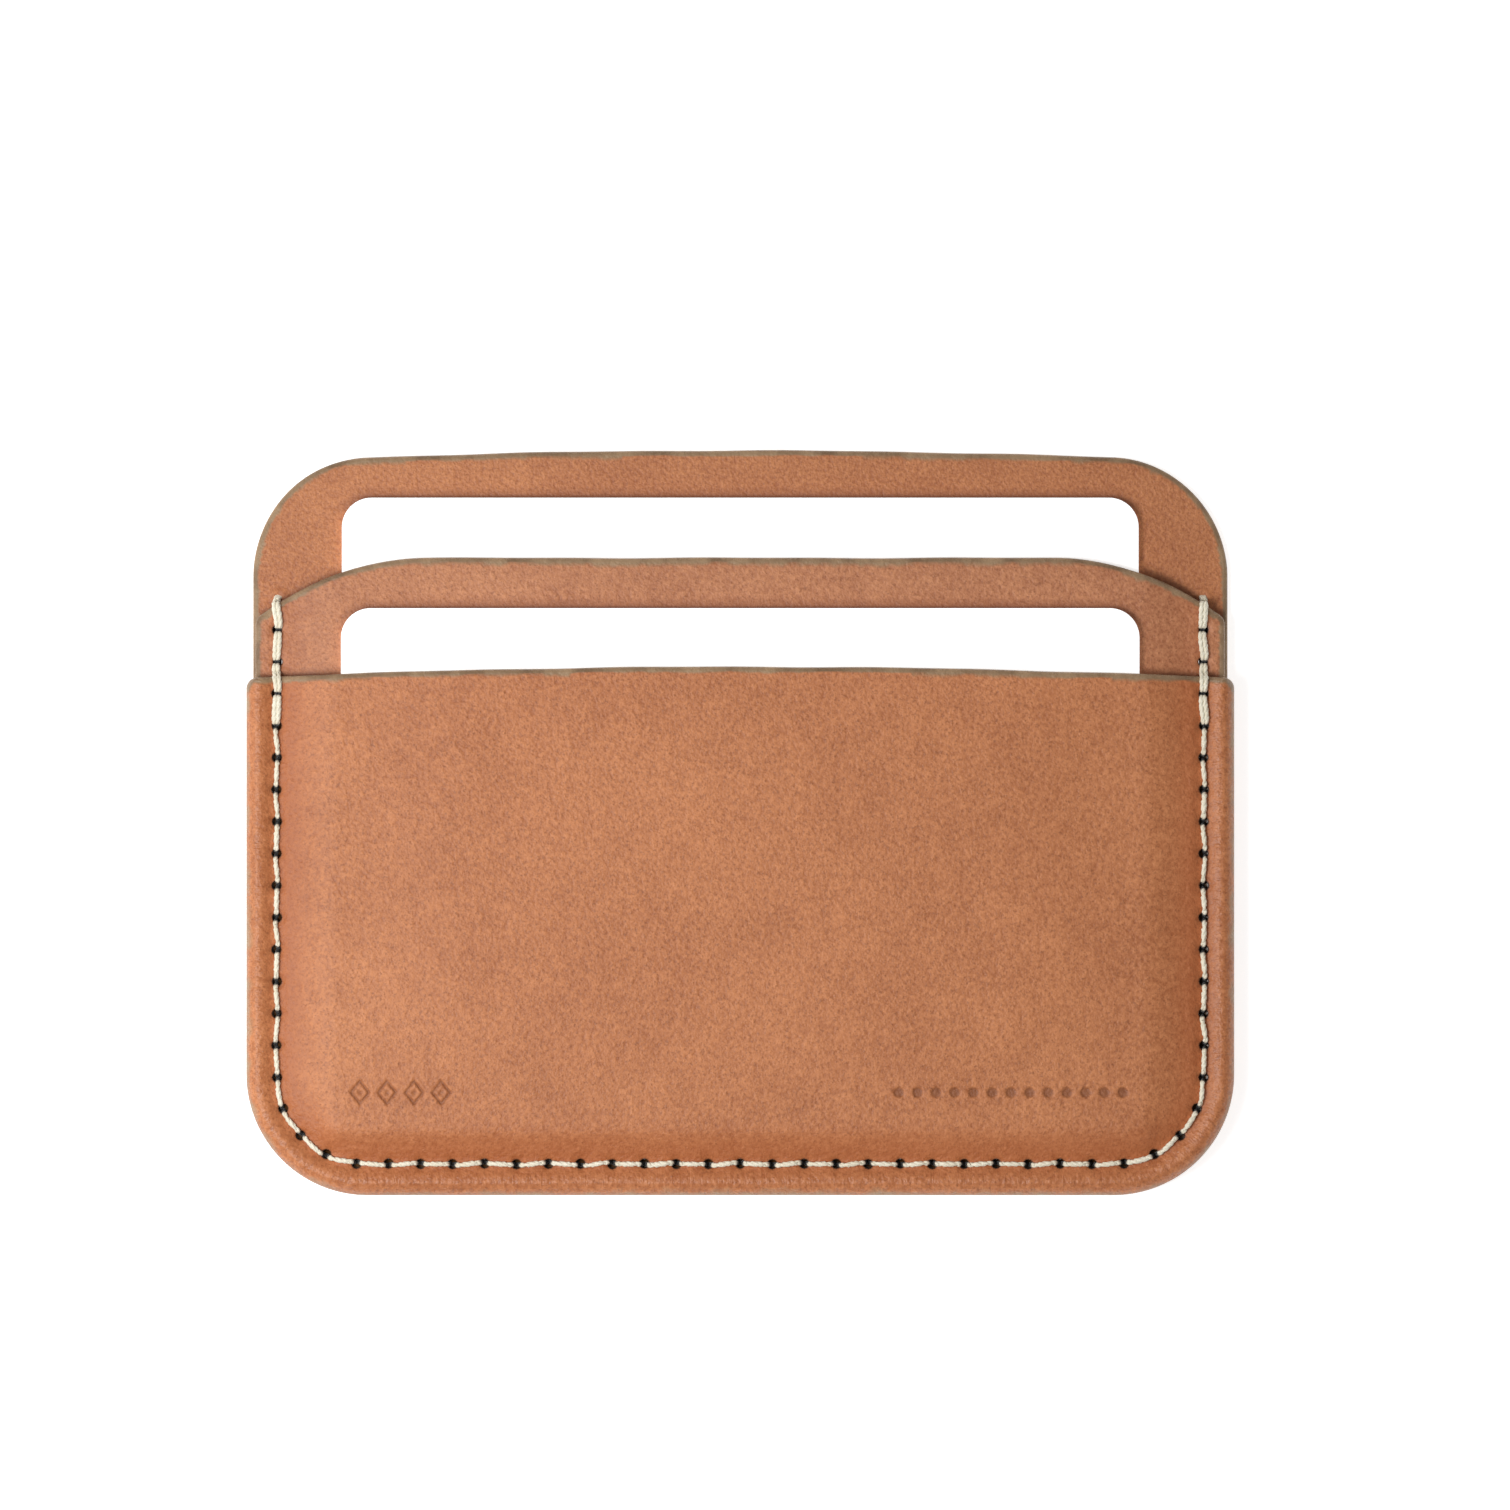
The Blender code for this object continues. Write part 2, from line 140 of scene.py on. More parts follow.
class Graph:
    """A node tree with short calls to add and join its nodes."""

    def __init__(self, tree: bpy.types.NodeTree) -> None:
        """Keep the tree that the calls work on."""
        self.tree = tree

    def add(self, kind: str, inputs: dict | None = None, **settings: object) -> bpy.types.Node:
        """Add a node.

        Args:
            kind: The node's type name.
            inputs: Socket name or number to a value, or to another node's output socket.
            **settings: Properties of the node itself.

        Returns:
            The new node.
        """
        node = self.tree.nodes.new(kind)
        for name, value in settings.items():
            setattr(node, name, value)
        for name, value in (inputs or {}).items():
            self.put(node.inputs[name], value)
        return node

    def put(self, socket: bpy.types.NodeSocket, value: object) -> None:
        """Give a socket a value, or join it to an output socket.

        Args:
            socket: The input socket.
            value: A plain value, or the output socket to join.
        """
        if isinstance(value, bpy.types.NodeSocket):
            self.tree.links.new(value, socket)
        else:
            socket.default_value = value

    def math(self, operation: str, a: object, b: object = 0.0) -> bpy.types.NodeSocket:
        """Result of a Math node."""
        return self.add("ShaderNodeMath", {0: a, 1: b}, operation=operation).outputs[0]

    def steady(self, value: bpy.types.NodeSocket, share: float, base: float
               ) -> bpy.types.NodeSocket:
        """A share of a value on top of a constant base."""
        return self.add("ShaderNodeMath", {0: value, 1: share, 2: base},
                        operation="MULTIPLY_ADD").outputs[0]

    def noise(self, place: bpy.types.NodeSocket, size: float, detail: float = 2.0,
              seed: float = 0.0) -> bpy.types.NodeSocket:
        """Noise value whose features are about size millimetres wide."""
        inputs = {"Vector": place, "W": seed, "Scale": 1.0 / (size * MM), "Detail": detail}
        return self.add("ShaderNodeTexNoise", inputs, noise_dimensions="4D").outputs[0]

    def spread(self, value: bpy.types.NodeSocket, low: float, high: float) -> bpy.types.NodeSocket:
        """The value stretched so that low becomes 0 and high becomes 1."""
        inputs = {"Value": value, "From Min": low, "From Max": high}
        return self.add("ShaderNodeMapRange", inputs).outputs[0]

    def blend(self, share: object, first: object, second: object,
              mode: str = "MIX") -> bpy.types.NodeSocket:
        """Mix of two colours.

        Args:
            share: Share of the second colour.
            first: The first colour.
            second: The second colour.
            mode: How they are mixed.

        Returns:
            The mixed colour.
        """
        node = self.add("ShaderNodeMix", data_type="RGBA", blend_type=mode)
        for socket, value in zip((node.inputs[0], node.inputs[6], node.inputs[7]),
                                 (share, first, second)):
            self.put(socket, value)
        return node.outputs[2]

    def bump(self, height: bpy.types.NodeSocket, depth: float,
             under: bpy.types.NodeSocket | None = None) -> bpy.types.NodeSocket:
        """Normal of a bump.

        Args:
            height: The bump's height from 0 to 1.
            depth: Its full height in millimetres.
            under: Normal of another bump that this one lies on.

        Returns:
            The normal.
        """
        inputs: dict = {"Height": height, "Distance": depth * MM, "Strength": 1.0}
        if under is not None:
            inputs["Normal"] = under
        return self.add("ShaderNodeBump", inputs).outputs[0]


def new_material(name: str) -> tuple[bpy.types.Material, Graph, bpy.types.Node]:
    """A material with only its Principled shader.

    Args:
        name: The material's name.

    Returns:
        The material, the graph of its tree, and the shader node.
    """
    material = bpy.data.materials.new(name)
    material.use_nodes = True
    return material, Graph(material.node_tree), material.node_tree.nodes["Principled BSDF"]


# ------------------------------------------------------------------ finishes

@dataclass(frozen=True)
class Mottle:
    """One scale of a hide's mottling."""

    size: float
    detail: float
    relief: float
    share: float
    low: float = 0.32
    high: float = 0.68


@dataclass(frozen=True)
class LeatherFinish:
    """Vegetable-tanned leather: fine mottled grain and burnished edges, with painted shade beside
    the seam, along the edges of cards and panels, and in the holes.
    """

    name: str
    pale: Colour
    deep: Colour
    seed: float = 0.0
    # Painted shade: darker orange in the valley just inside the stitch line.
    valley_shade_tint: Colour = srgb(170, 88, 40)
    valley_shade_tint_share: float = 0.52
    # Dark tint of the grain's random specks and of the darker pressed stamps; it also paints the
    # shade along card and panel edges.
    speck_and_shade: Colour = srgb(126, 72, 42)
    press_and_shade_share: float = 0.72
    edge: Colour = srgb(160, 130, 98)
    edge_dark: Colour = srgb(122, 95, 68)
    # Painted shade: near-black inside the punched holes.
    pit: Colour = srgb(14, 9, 7)
    cloud: Mottle = Mottle(16.0, 2.0, 0.05, 0.26, 0.3, 0.7)
    patch: Mottle = Mottle(2.4, 3.0, 0.04, 0.16)
    grain: Mottle = Mottle(0.41, 4.0, 0.12, 0.60)
    fleck: Mottle = Mottle(0.24, 1.0, 0.045, 0.48, 0.54, 0.72)
    wrinkle_relief: float = 0.05
    burnish_edge: Point = (0.35, 0.75)
    burnish_waver: float = 0.35
    roughness: float = 0.40
    roughness_spread: float = 0.24
    rim_polish: float = 0.12
    specular: float = 0.45
    sheen: Point = (0.08, 0.4)

    def material(self) -> bpy.types.Material:
        """Build the material.

        Returns:
            The leather's material, which reads the attributes that LeatherPanel stores.
        """
        material, graph, shader = new_material(self.name)
        mottles = (self.cloud, self.patch, self.grain, self.fleck)
        place = graph.add("ShaderNodeTexCoord").outputs["Object"]
        cloud, patch, grain, fleck = (
            graph.noise(place, mottle.size, mottle.detail, self.seed + float(step))
            for step, mottle in enumerate(mottles))
        graph.put(shader.inputs["Base Color"], self.colour(graph, cloud, patch, grain, fleck))
        rough = graph.steady(grain, self.roughness_spread, self.roughness)
        polish = graph.math("MULTIPLY", self.weight(graph, "rolled"), self.rim_polish)
        graph.put(shader.inputs["Roughness"], graph.math("SUBTRACT", rough, polish))
        shader.inputs["Specular IOR Level"].default_value = self.specular
        shader.inputs["Sheen Weight"].default_value = self.sheen[0]
        shader.inputs["Sheen Roughness"].default_value = self.sheen[1]
        normal = None
        for height, relief in ((cloud, self.cloud.relief), (patch, self.patch.relief),
                               (self.wrinkles(graph), self.wrinkle_relief),
                               (grain, self.grain.relief), (fleck, self.fleck.relief)):
            normal = graph.bump(height, relief, normal)
        graph.put(shader.inputs["Normal"], normal)
        return material

    def colour(self, graph: Graph, cloud: bpy.types.NodeSocket, patch: bpy.types.NodeSocket,
               grain: bpy.types.NodeSocket, fleck: bpy.types.NodeSocket) -> bpy.types.NodeSocket:
        """Colour of the hide with its marks and edges, and the painted shade beside the seam,
        along card and panel edges and in the holes.

        Args:
            graph: The material's graph.
            cloud: Widest mottling.
            patch: Mottling a few millimetres wide.
            grain: Fine grain.
            fleck: Finest specks.

        Returns:
            The colour's socket.
        """
        tone = self.share(graph, cloud, self.cloud)
        for noise, mottle in ((patch, self.patch), (grain, self.grain)):
            tone = graph.math("ADD", tone, self.share(graph, noise, mottle))
        colour = graph.blend(tone, self.deep, self.pale)
        colour = graph.blend(self.share(graph, fleck, self.fleck), colour, self.speck_and_shade)
        # Painted shade: the valley weight darkens the band just inside the stitch line.
        for label, share, tint in (("crease", self.valley_shade_tint_share, self.valley_shade_tint),
                                   # The pressed weight darkens the stamps and paints shade along
                                   # card and panel edges.
                                   ("pressed", self.press_and_shade_share, self.speck_and_shade)):
            amount = graph.math("MULTIPLY", self.weight(graph, label), share)
            colour = graph.blend(amount, colour, tint)
        blotch = graph.spread(patch, 0.35, 0.65)
        uneven = graph.math("MULTIPLY", blotch, self.burnish_waver)
        worn = graph.math("ADD", self.weight(graph, "burnish"), uneven)
        rubbed = graph.blend(blotch, self.edge_dark, self.edge)
        colour = graph.blend(graph.spread(worn, *self.burnish_edge), colour, rubbed)
        # Painted shade: the holes go near-black.
        return graph.blend(self.weight(graph, "pit"), colour, self.pit)

    def wrinkles(self, graph: Graph) -> bpy.types.NodeSocket:
        """Short creases that cross the rolled rim.

        Args:
            graph: The material's graph.

        Returns:
            Their height's socket.
        """
        run = graph.add("ShaderNodeCombineXYZ", {
            "X": self.weight(graph, "along"), "Y": self.weight(graph, "away")}).outputs[0]
        fold = graph.add("ShaderNodeTexNoise", {
            "Vector": run, "W": self.seed, "Scale": 1.0, "Detail": 3.0,
            "Distortion": 0.6}, noise_dimensions="4D").outputs[0]
        return graph.math("MULTIPLY", graph.spread(fold, 0.35, 0.65), self.weight(graph, "rolled"))

    @staticmethod
    def share(graph: Graph, noise: bpy.types.NodeSocket, mottle: Mottle) -> bpy.types.NodeSocket:
        """A mottling's part of the tone."""
        return graph.math("MULTIPLY", graph.spread(noise, mottle.low, mottle.high), mottle.share)

    @staticmethod
    def weight(graph: Graph, name: str) -> bpy.types.NodeSocket:
        """A mesh attribute as a value."""
        return graph.add("ShaderNodeAttribute", attribute_name=name).outputs["Fac"]


@dataclass(frozen=True)
class YarnFinish:
    """Waxed cream yarn, darkened by painted shade where it dips out of the light into its holes.
    """

    name: str = "waxed_yarn"
    pale: Colour = srgb(252, 247, 230)
    deep: Colour = srgb(224, 214, 188)
    # Painted shade for the yarn where it sinks into a hole.
    sunk_shade: Colour = srgb(16, 11, 9)
    roughness: float = 0.42
    fibre_size: float = 0.11
    fibre_relief: float = 0.014
    patch_size: float = 1.7
    sheen: float = 0.25

    def material(self) -> bpy.types.Material:
        """Build the material with fine fibres along each ply.

        Returns:
            The yarn's material.
        """
        material, graph, shader = new_material(self.name)
        place = graph.add("ShaderNodeTexCoord").outputs["Object"]
        fibre = graph.noise(place, self.fibre_size, 3.0, 4.0)
        patch = graph.noise(place, self.patch_size, 1.0, 5.0)
        tone = graph.math("MULTIPLY", graph.spread(fibre, 0.3, 0.7), graph.spread(patch, 0.1, 0.6))
        colour = graph.blend(tone, self.deep, self.pale)
        # Painted shade where the yarn sinks into its holes.
        dark = graph.add("ShaderNodeAttribute", attribute_name="sunk_shade").outputs["Fac"]
        graph.put(shader.inputs["Base Color"], graph.blend(dark, colour, self.sunk_shade))
        graph.put(shader.inputs["Roughness"], graph.steady(fibre, 0.2, self.roughness))
        shader.inputs["Sheen Weight"].default_value = self.sheen
        graph.put(shader.inputs["Normal"], graph.bump(fibre, self.fibre_relief))
        return material


@dataclass(frozen=True)
class CardFinish:
    """Blank white card stock with a fine matt tooth and faint scuffs, and a painted glow that
    keeps it white where shade would fall.
    """

    name: str = "blank_card"
    face: Colour = srgb(252, 252, 252)
    scuff: Colour = srgb(243, 243, 242)
    tooth_size: float = 0.09
    tooth_relief: float = 0.003
    haze_size: float = 9.0
    roughness: float = 0.36
    # Painted light: the card glows so that no shade shows on it.
    glow: float = 0.55

    def material(self) -> bpy.types.Material:
        """Build the material.

        Returns:
            The card's material.
        """
        material, graph, shader = new_material(self.name)
        place = graph.add("ShaderNodeTexCoord").outputs["Object"]
        tooth = graph.noise(place, self.tooth_size, 2.0, 6.0)
        haze = graph.noise(place, self.haze_size, 2.0, 7.0)
        graph.put(shader.inputs["Base Color"],
                  graph.blend(graph.spread(haze, 0.45, 0.8), self.face, self.scuff))
        graph.put(shader.inputs["Roughness"], graph.steady(haze, 0.15, self.roughness))
        # Painted light: emission keeps the card white in shade.
        shader.inputs["Emission Color"].default_value = WHITE
        shader.inputs["Emission Strength"].default_value = self.glow
        graph.put(shader.inputs["Normal"], graph.bump(tooth, self.tooth_relief))
        return material


@dataclass(frozen=True)
class CementFinish:
    """Dried amber contact cement."""

    name: str = "dried_cement"
    amber: Colour = srgb(120, 82, 44)
    dark: Colour = srgb(78, 50, 28)
    lump_size: float = 0.8
    lump_relief: float = 0.03
    roughness: float = 0.35

    def material(self) -> bpy.types.Material:
        """Build the material.

        Returns:
            The cement's material.
        """
        material, graph, shader = new_material(self.name)
        place = graph.add("ShaderNodeTexCoord").outputs["Object"]
        lumps = graph.noise(place, self.lump_size, 3.0, 8.0)
        graph.put(shader.inputs["Base Color"],
                  graph.blend(graph.spread(lumps, 0.3, 0.7), self.dark, self.amber))
        graph.put(shader.inputs["Normal"], graph.bump(lumps, self.lump_relief))
        shader.inputs["Roughness"].default_value = self.roughness
        return material


@dataclass(frozen=True)
class FloorFinish:
    """Plain white paper sweep."""

    name: str = "paper_sweep"
    paper: Colour = (0.93, 0.93, 0.93, 1.0)
    roughness: float = 0.9
    glow: float = 0.7

    def material(self) -> bpy.types.Material:
        """Build the material.

        Returns:
            The paper's material.
        """
        material, _, shader = new_material(self.name)
        shader.inputs["Base Color"].default_value = self.paper
        shader.inputs["Roughness"].default_value = self.roughness
        shader.inputs["Emission Color"].default_value = WHITE
        shader.inputs["Emission Strength"].default_value = self.glow
        return material


# ------------------------------------------------------------------ drawing the leather

class Layer(Enum):
    """Which of the three panels a piece of leather is."""

    BACK = "back_panel"
    MIDDLE = "middle_panel"
    FRONT = "front_panel"

    @property
    def slot(self) -> str:
        """Name of the panel's material slot."""
        return self.value.replace("_panel", "_leather")


@dataclass(frozen=True)
class SeamLine:
    """The U-shaped stitch line with its punched holes."""

    half_width: float
    foot: float
    top: float
    corner: float = 9.6
    stitches: int = 62
    stray: float = 0.04
    beat: float = 2.4

    @property
    def side(self) -> float:
        """Length of one straight side."""
        return self.top - self.foot - self.corner

    @property
    def length(self) -> float:
        """Length of the whole stitch line."""
        return (2 * self.side + math.pi * self.corner
                + 2 * (self.half_width - self.corner))

    @property
    def pitch(self) -> float:
        """Length of one stitch."""
        return self.length / self.stitches

    def point(self, s: float) -> tuple[float, float, float, float]:
        """Place and direction on the stitch line.

        Args:
            s: Length along the line from its left top end.

        Returns:
            x, y and the two parts of the unit direction.
        """
        if s > self.length / 2:
            x, y, dx, dy = self.point(self.length - s)
            return -x, y, dx, -dy
        if s <= self.side:
            return -self.half_width, self.top - s, 0.0, -1.0
        turn = (s - self.side) / self.corner
        if turn <= math.pi / 2:
            return (-self.half_width + self.corner * (1 - math.cos(turn)),
                    self.foot + self.corner * (1 - math.sin(turn)),
                    math.sin(turn), -math.cos(turn))
        run = s - self.side - self.corner * math.pi / 2
        return -self.half_width + self.corner + run, self.foot, 1.0, 0.0

    def hole(self, k: int) -> Point:
        """Middle of a hole, which strays a little to either side.

        Args:
            k: Number of the hole from the left top end.

        Returns:
            Its place.
        """
        x, y, dx, dy = self.point(k * self.pitch)
        away = self.stray * math.sin(self.beat * k)
        return x + away * dy, y - away * dx

    def distance(self, x: Array, y: Array) -> Array:
        """Distance from the line, as if its sides ran on upwards.

        Args:
            x: Places across the width.
            y: Places up the height.

        Returns:
            The distance outside the line, negative inside.
        """
        centre_x, centre_y = self.half_width - self.corner, self.foot + self.corner
        wide = np.abs(x)
        turn = np.hypot(np.maximum(wide - centre_x, 0.0), np.maximum(centre_y - y, 0.0))
        beside = wide - self.half_width
        below = self.foot - y
        around = np.where(wide <= centre_x, below, turn - self.corner)
        return np.where(y >= centre_y, beside, around)

    def along(self, x: Array, y: Array) -> Array:
        """Length along the line of the point on it that is nearest to each point.

        Args:
            x: Places across the width.
            y: Places up the height.

        Returns:
            The lengths from the line's left top end.
        """
        centre_x, centre_y = self.half_width - self.corner, self.foot + self.corner
        wide = np.abs(x)
        turn = np.arctan2(np.maximum(centre_y - y, 0.0), np.maximum(wide - centre_x, 1e-9))
        run = self.side + self.corner * turn + np.maximum(centre_x - wide, 0.0)
        run = np.where(y >= centre_y, self.top - y, run)
        return np.where(x > 0.0, self.length - run, run)


@dataclass(frozen=True)
class PanelShape:
    """Outline of one panel: arch is its top edge's radius, drop its shoulders' fall."""

    half_width: float
    foot: float
    crown: float
    foot_corner: float
    top_corner: float
    arch: float = 0.0
    shoulder: float = 0.0
    drop: float = 0.0
    top_turn: float = 90.0

    def crest(self, x: Array) -> Array:
        """Height of the top edge.

        Args:
            x: Places across the width.

        Returns:
            The edge's height at each.
        """
        bow = x * x / (2 * self.arch) if self.arch else 0.0 * x
        reach = np.maximum(np.abs(x) - self.shoulder, 0.0) / (self.half_width - self.shoulder)
        return self.crown - bow - self.drop * reach ** 2

    def tilt(self, x: Array) -> Array:
        """Cosine of the top edge's slope."""
        rise = (self.crest(x + 0.1) - self.crest(x - 0.1)) / 0.2
        return 1.0 / np.sqrt(1.0 + rise * rise)

    def top_centre(self, inset: float = 0.0) -> Point:
        """Middle of the right top corner's arc.

        Args:
            inset: How far the loop that the arc belongs to is set in.

        Returns:
            The arc's middle.
        """
        side, radius = self.half_width - inset, self.top_corner - inset
        turn = math.radians(self.top_turn)
        end = side - radius + radius * math.cos(turn)
        height = float(self.crest(np.array(end)) - inset / self.tilt(np.array(end)))
        return side - radius, height - radius * math.sin(turn)

    def loop(self, inset: float, step: float) -> list[Point]:
        """Closed loop that keeps inset inside the outline.

        Args:
            inset: Distance from the outline.
            step: Spacing of the points.

        Returns:
            The points, counter-clockwise.
        """
        side = self.half_width - inset
        corner = self.foot_corner - inset
        radius = self.top_corner - inset
        foot = arc((side - corner, self.foot + inset + corner), corner, 270.0, 360.0, 40)
        centre = self.top_centre(inset)
        top = arc(centre, radius, 0.0, self.top_turn, 24)
        across = np.linspace(top[-1][0], 0.0, 60)[1:-1]
        edge = self.crest(across) - inset / self.tilt(across)
        right = foot + top + list(zip(across.tolist(), edge.tolist()))
        return spaced(right + mirrored(right), step)

    def depth(self, x: Array, y: Array) -> Array:
        """Distance inside the outline.

        Args:
            x: Places across the width.
            y: Places up the height.

        Returns:
            The distance to the outline, negative outside it.
        """
        wide = np.abs(x)
        beside, above = self.half_width - wide, y - self.foot
        inner_x, inner_y = self.half_width - self.foot_corner, self.foot + self.foot_corner
        foot = self.foot_corner - np.hypot(np.maximum(wide - inner_x, 0.0),
                                           np.maximum(inner_y - y, 0.0))
        sides = np.where((wide > inner_x) & (y < inner_y), foot, np.minimum(beside, above))
        top_x, top_y = self.top_centre()
        under = (self.crest(x) - y) * self.tilt(x)
        round_top = self.top_corner - np.hypot(np.maximum(wide - top_x, 0.0),
                                               np.maximum(y - top_y, 0.0))
        top = np.where((wide > top_x) & (y > top_y), round_top, under)
        return np.minimum(sides, top)


@dataclass(frozen=True)
class Pocket:
    """Room that a card keeps open between two panels."""

    half_width: float
    foot: float
    slack: float = 0.85
    ease: float = 15.0

    def swell(self, seam: SeamLine, x: Array, y: Array) -> Array:
        """Share of the full pocket rise.

        Args:
            seam: The stitch line that holds the leather down.
            x: Places across the width.
            y: Places up the height.

        Returns:
            0 at the seam to 1 over the card's room.
        """
        near = np.maximum(-seam.distance(x, y) - self.slack, 0.0)
        far = np.hypot(np.maximum(np.abs(x) - self.half_width, 0.0),
                       np.maximum(self.foot - y, 0.0))
        return smooth(near / np.maximum(near + far, 1e-6))

    def pillow(self, x: Array, y: Array) -> Array:
        """Share by which leather drawn over a card still falls away: 1 at the room's rim."""
        across = smooth((self.half_width - np.abs(x)) / self.ease)
        return 1.0 - across * smooth((y - self.foot) / self.ease)


@dataclass(frozen=True)
class Stamps:
    """Two rows of plain pressed marks at the foot of the front panel."""

    height: float
    depth: float = 0.16
    line: float = 0.15
    margin: float = 0.5
    diamonds: tuple[float, ...] = (-40.7, -37.8, -34.9, -32.0)
    diamond_half: Point = (0.95, 1.2)
    dots_from: float = 17.0
    dots_to: float = 41.0
    dots: int = 13
    dot_radius: float = 0.42
    pip: float = 0.28
    pip_share: float = 0.8

    def zones(self) -> list[tuple[float, float, float, float]]:
        """The zones where the mesh is finer.

        Returns:
            Low x, high x, low y and high y of each row of marks.
        """
        wide, tall = self.diamond_half
        rows = ((self.diamonds[0] - wide, self.diamonds[-1] + wide),
                (self.dots_from - wide, self.dots_to + wide))
        return [(a - self.margin, b + self.margin, self.height - tall - self.margin,
                 self.height + tall + self.margin) for a, b in rows]

    def pressed(self, x: Array, y: Array) -> Array:
        """Depth of the marks.

        Args:
            x: Places across the width.
            y: Places up the height.

        Returns:
            How deep the face is pressed in at each.
        """
        wide, tall = self.diamond_half
        scale = wide * tall / math.hypot(wide, tall)
        deep = np.zeros_like(x)
        for middle in self.diamonds:
            ring = np.abs(x - middle) / wide + np.abs(y - self.height) / tall
            deep = np.maximum(deep, bell((ring - 1.0) * scale, self.line))
            pip = bell(np.hypot(x - middle, y - self.height), self.pip)
            deep = np.maximum(deep, self.pip_share * pip)
        for middle in np.linspace(self.dots_from, self.dots_to, self.dots):
            away = np.hypot(x - middle, y - self.height) - self.dot_radius
            deep = np.maximum(deep, bell(np.maximum(away, 0.0), self.line))
        return self.depth * deep


@dataclass(frozen=True)
class CardOutline:
    """Rounded rectangle of a card where it rests, with its two faces."""

    node: str
    half_width: float
    foot: float
    crown: float
    low: float
    high: float
    corner: float = 3.18

    @classmethod
    def of(cls, node: str) -> "CardOutline":
        """Outline of the frame's card with this name."""
        low, high = (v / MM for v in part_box(node))
        return cls(node, high.x, low.y, high.y, low.z, high.z)

    def loop(self, inset: float) -> list[Point]:
        """Closed loop inside the outline.

        Args:
            inset: Distance from the outline.

        Returns:
            The points, counter-clockwise.
        """
        side, radius = self.half_width - inset, self.corner - inset
        centre = side - radius
        right = arc((centre, self.foot + self.corner), radius, 270.0, 360.0, 14)
        right += arc((centre, self.crown - self.corner), radius, 0.0, 90.0, 14)
        return spaced(right + mirrored(right), 2.0)

    def depth(self, x: Array, y: Array) -> Array:
        """Distance inside the outline.

        Args:
            x: Places across the width.
            y: Places up the height.

        Returns:
            The distance to the outline, negative outside it.
        """
        middle, tall = (self.foot + self.crown) / 2, (self.crown - self.foot) / 2
        over_x = np.abs(x) - (self.half_width - self.corner)
        over_y = np.abs(y - middle) - (tall - self.corner)
        turned = self.corner - np.hypot(np.maximum(over_x, 0.0), np.maximum(over_y, 0.0))
        straight = self.corner - np.maximum(over_x, over_y)
        return np.where((over_x > 0) & (over_y > 0), turned, straight)


# ------------------------------------------------------------------ sheets

@dataclass
class Sheet:
    """Builds a closed sheet from a flat plan and two height functions."""

    rims: list[list[Point]]
    holes: list[list[Point]] = field(default_factory=list)
    loose: Array = field(default_factory=lambda: np.zeros((0, 2)))

    def plan(self) -> tuple[Array, list[tuple[int, int, int]]]:
        """Triangulate the plan.

        Returns:
            The points, and the triangles inside the outer rim and outside the holes.
        """
        points: list[Point] = []
        edges: list[tuple[int, int]] = []
        for chain in self.rims + self.holes:
            first, count = len(points), len(chain)
            points += chain
            edges += [(first + i, first + (i + 1) % count) for i in range(count)]
        points += [tuple(p) for p in self.loose.tolist()]
        flat, _, faces, _, _, _ = delaunay_2d_cdt([Vector(p) for p in points], edges, [], 0, 1e-6)
        place = np.array([(p.x, p.y) for p in flat])
        middles = np.array([place[list(f)].mean(0) for f in faces])
        keep = self.within(self.rims[0], middles)
        for hole in self.holes:
            centre = np.mean(hole, 0)
            reach = max(math.dist(centre, p) for p in hole)
            near = np.hypot(*(middles - centre).T) < reach
            keep[near] &= ~self.within(hole, middles[near])
        return place, [tuple(f) for f, kept in zip(faces, keep) if kept]

    @staticmethod
    def within(loop: list[Point], points: Array) -> Array:
        """Tell which points lie inside a closed loop.

        Args:
            loop: The loop.
            points: The points, one to a row.

        Returns:
            True for each point inside.
        """
        result = np.zeros(len(points), bool)
        x, y = points[:, 0], points[:, 1]
        for (ax, ay), (bx, by) in zip(loop, loop[1:] + loop[:1]):
            if ay != by:
                cross = ((ay > y) != (by > y)) & (x < ax + (bx - ax) * (y - ay) / (by - ay))
                result ^= cross
        return result

    def mesh(self, name: str, under: Callable[[Array, Array], Array],
             face: Callable[[Array, Array], Array],
             weights: Callable[[Array, Array], dict[str, Array]] | None = None,
             shift: Callable[[Array, Array], tuple[Array, Array]] | None = None
             ) -> bpy.types.Mesh:
        """Make the closed mesh.

        Args:
            name: Name of the mesh.
            under: Height of the lower face.
            face: Height of the upper face.
            weights: Attributes to store at each point of the plan.
            shift: How far each point of the plan moves across and up.

        Returns:
            The mesh in metres, with its faces pointing out.
        """
        place, faces = self.plan()
        used = sorted({i for f in faces for i in f})
        order = {old: new for new, old in enumerate(used)}
        place = place[used]
        faces = [tuple(order[i] for i in f) for f in faces]
        x, y = place[:, 0], place[:, 1]
        count = len(place)
        across, up = shift(x, y) if shift else (0.0, 0.0)
        low = np.column_stack((x + across, y + up, under(x, y)))
        high = np.column_stack((x + across, y + up, face(x, y)))
        directed = {(a, b) for f in faces for a, b in zip(f, f[1:] + f[:1])}
        walls = [(a, b, b + count, a + count) for a, b in directed if (b, a) not in directed]
        solid = ([tuple(reversed(f)) for f in faces]
                 + [tuple(i + count for i in f) for f in faces] + sorted(walls))
        mesh = bpy.data.meshes.new(name)
        mesh.from_pydata((np.vstack((low, high)) * MM).tolist(), [], solid)
        for label, values in (weights(x, y) if weights else {}).items():
            store = mesh.attributes.new(label, "FLOAT", "POINT")
            store.data.foreach_set("value", np.concatenate((values, values)).astype(np.float32))
        mesh.validate()
        face_out(mesh)
        mesh.shade_smooth()
        return mesh


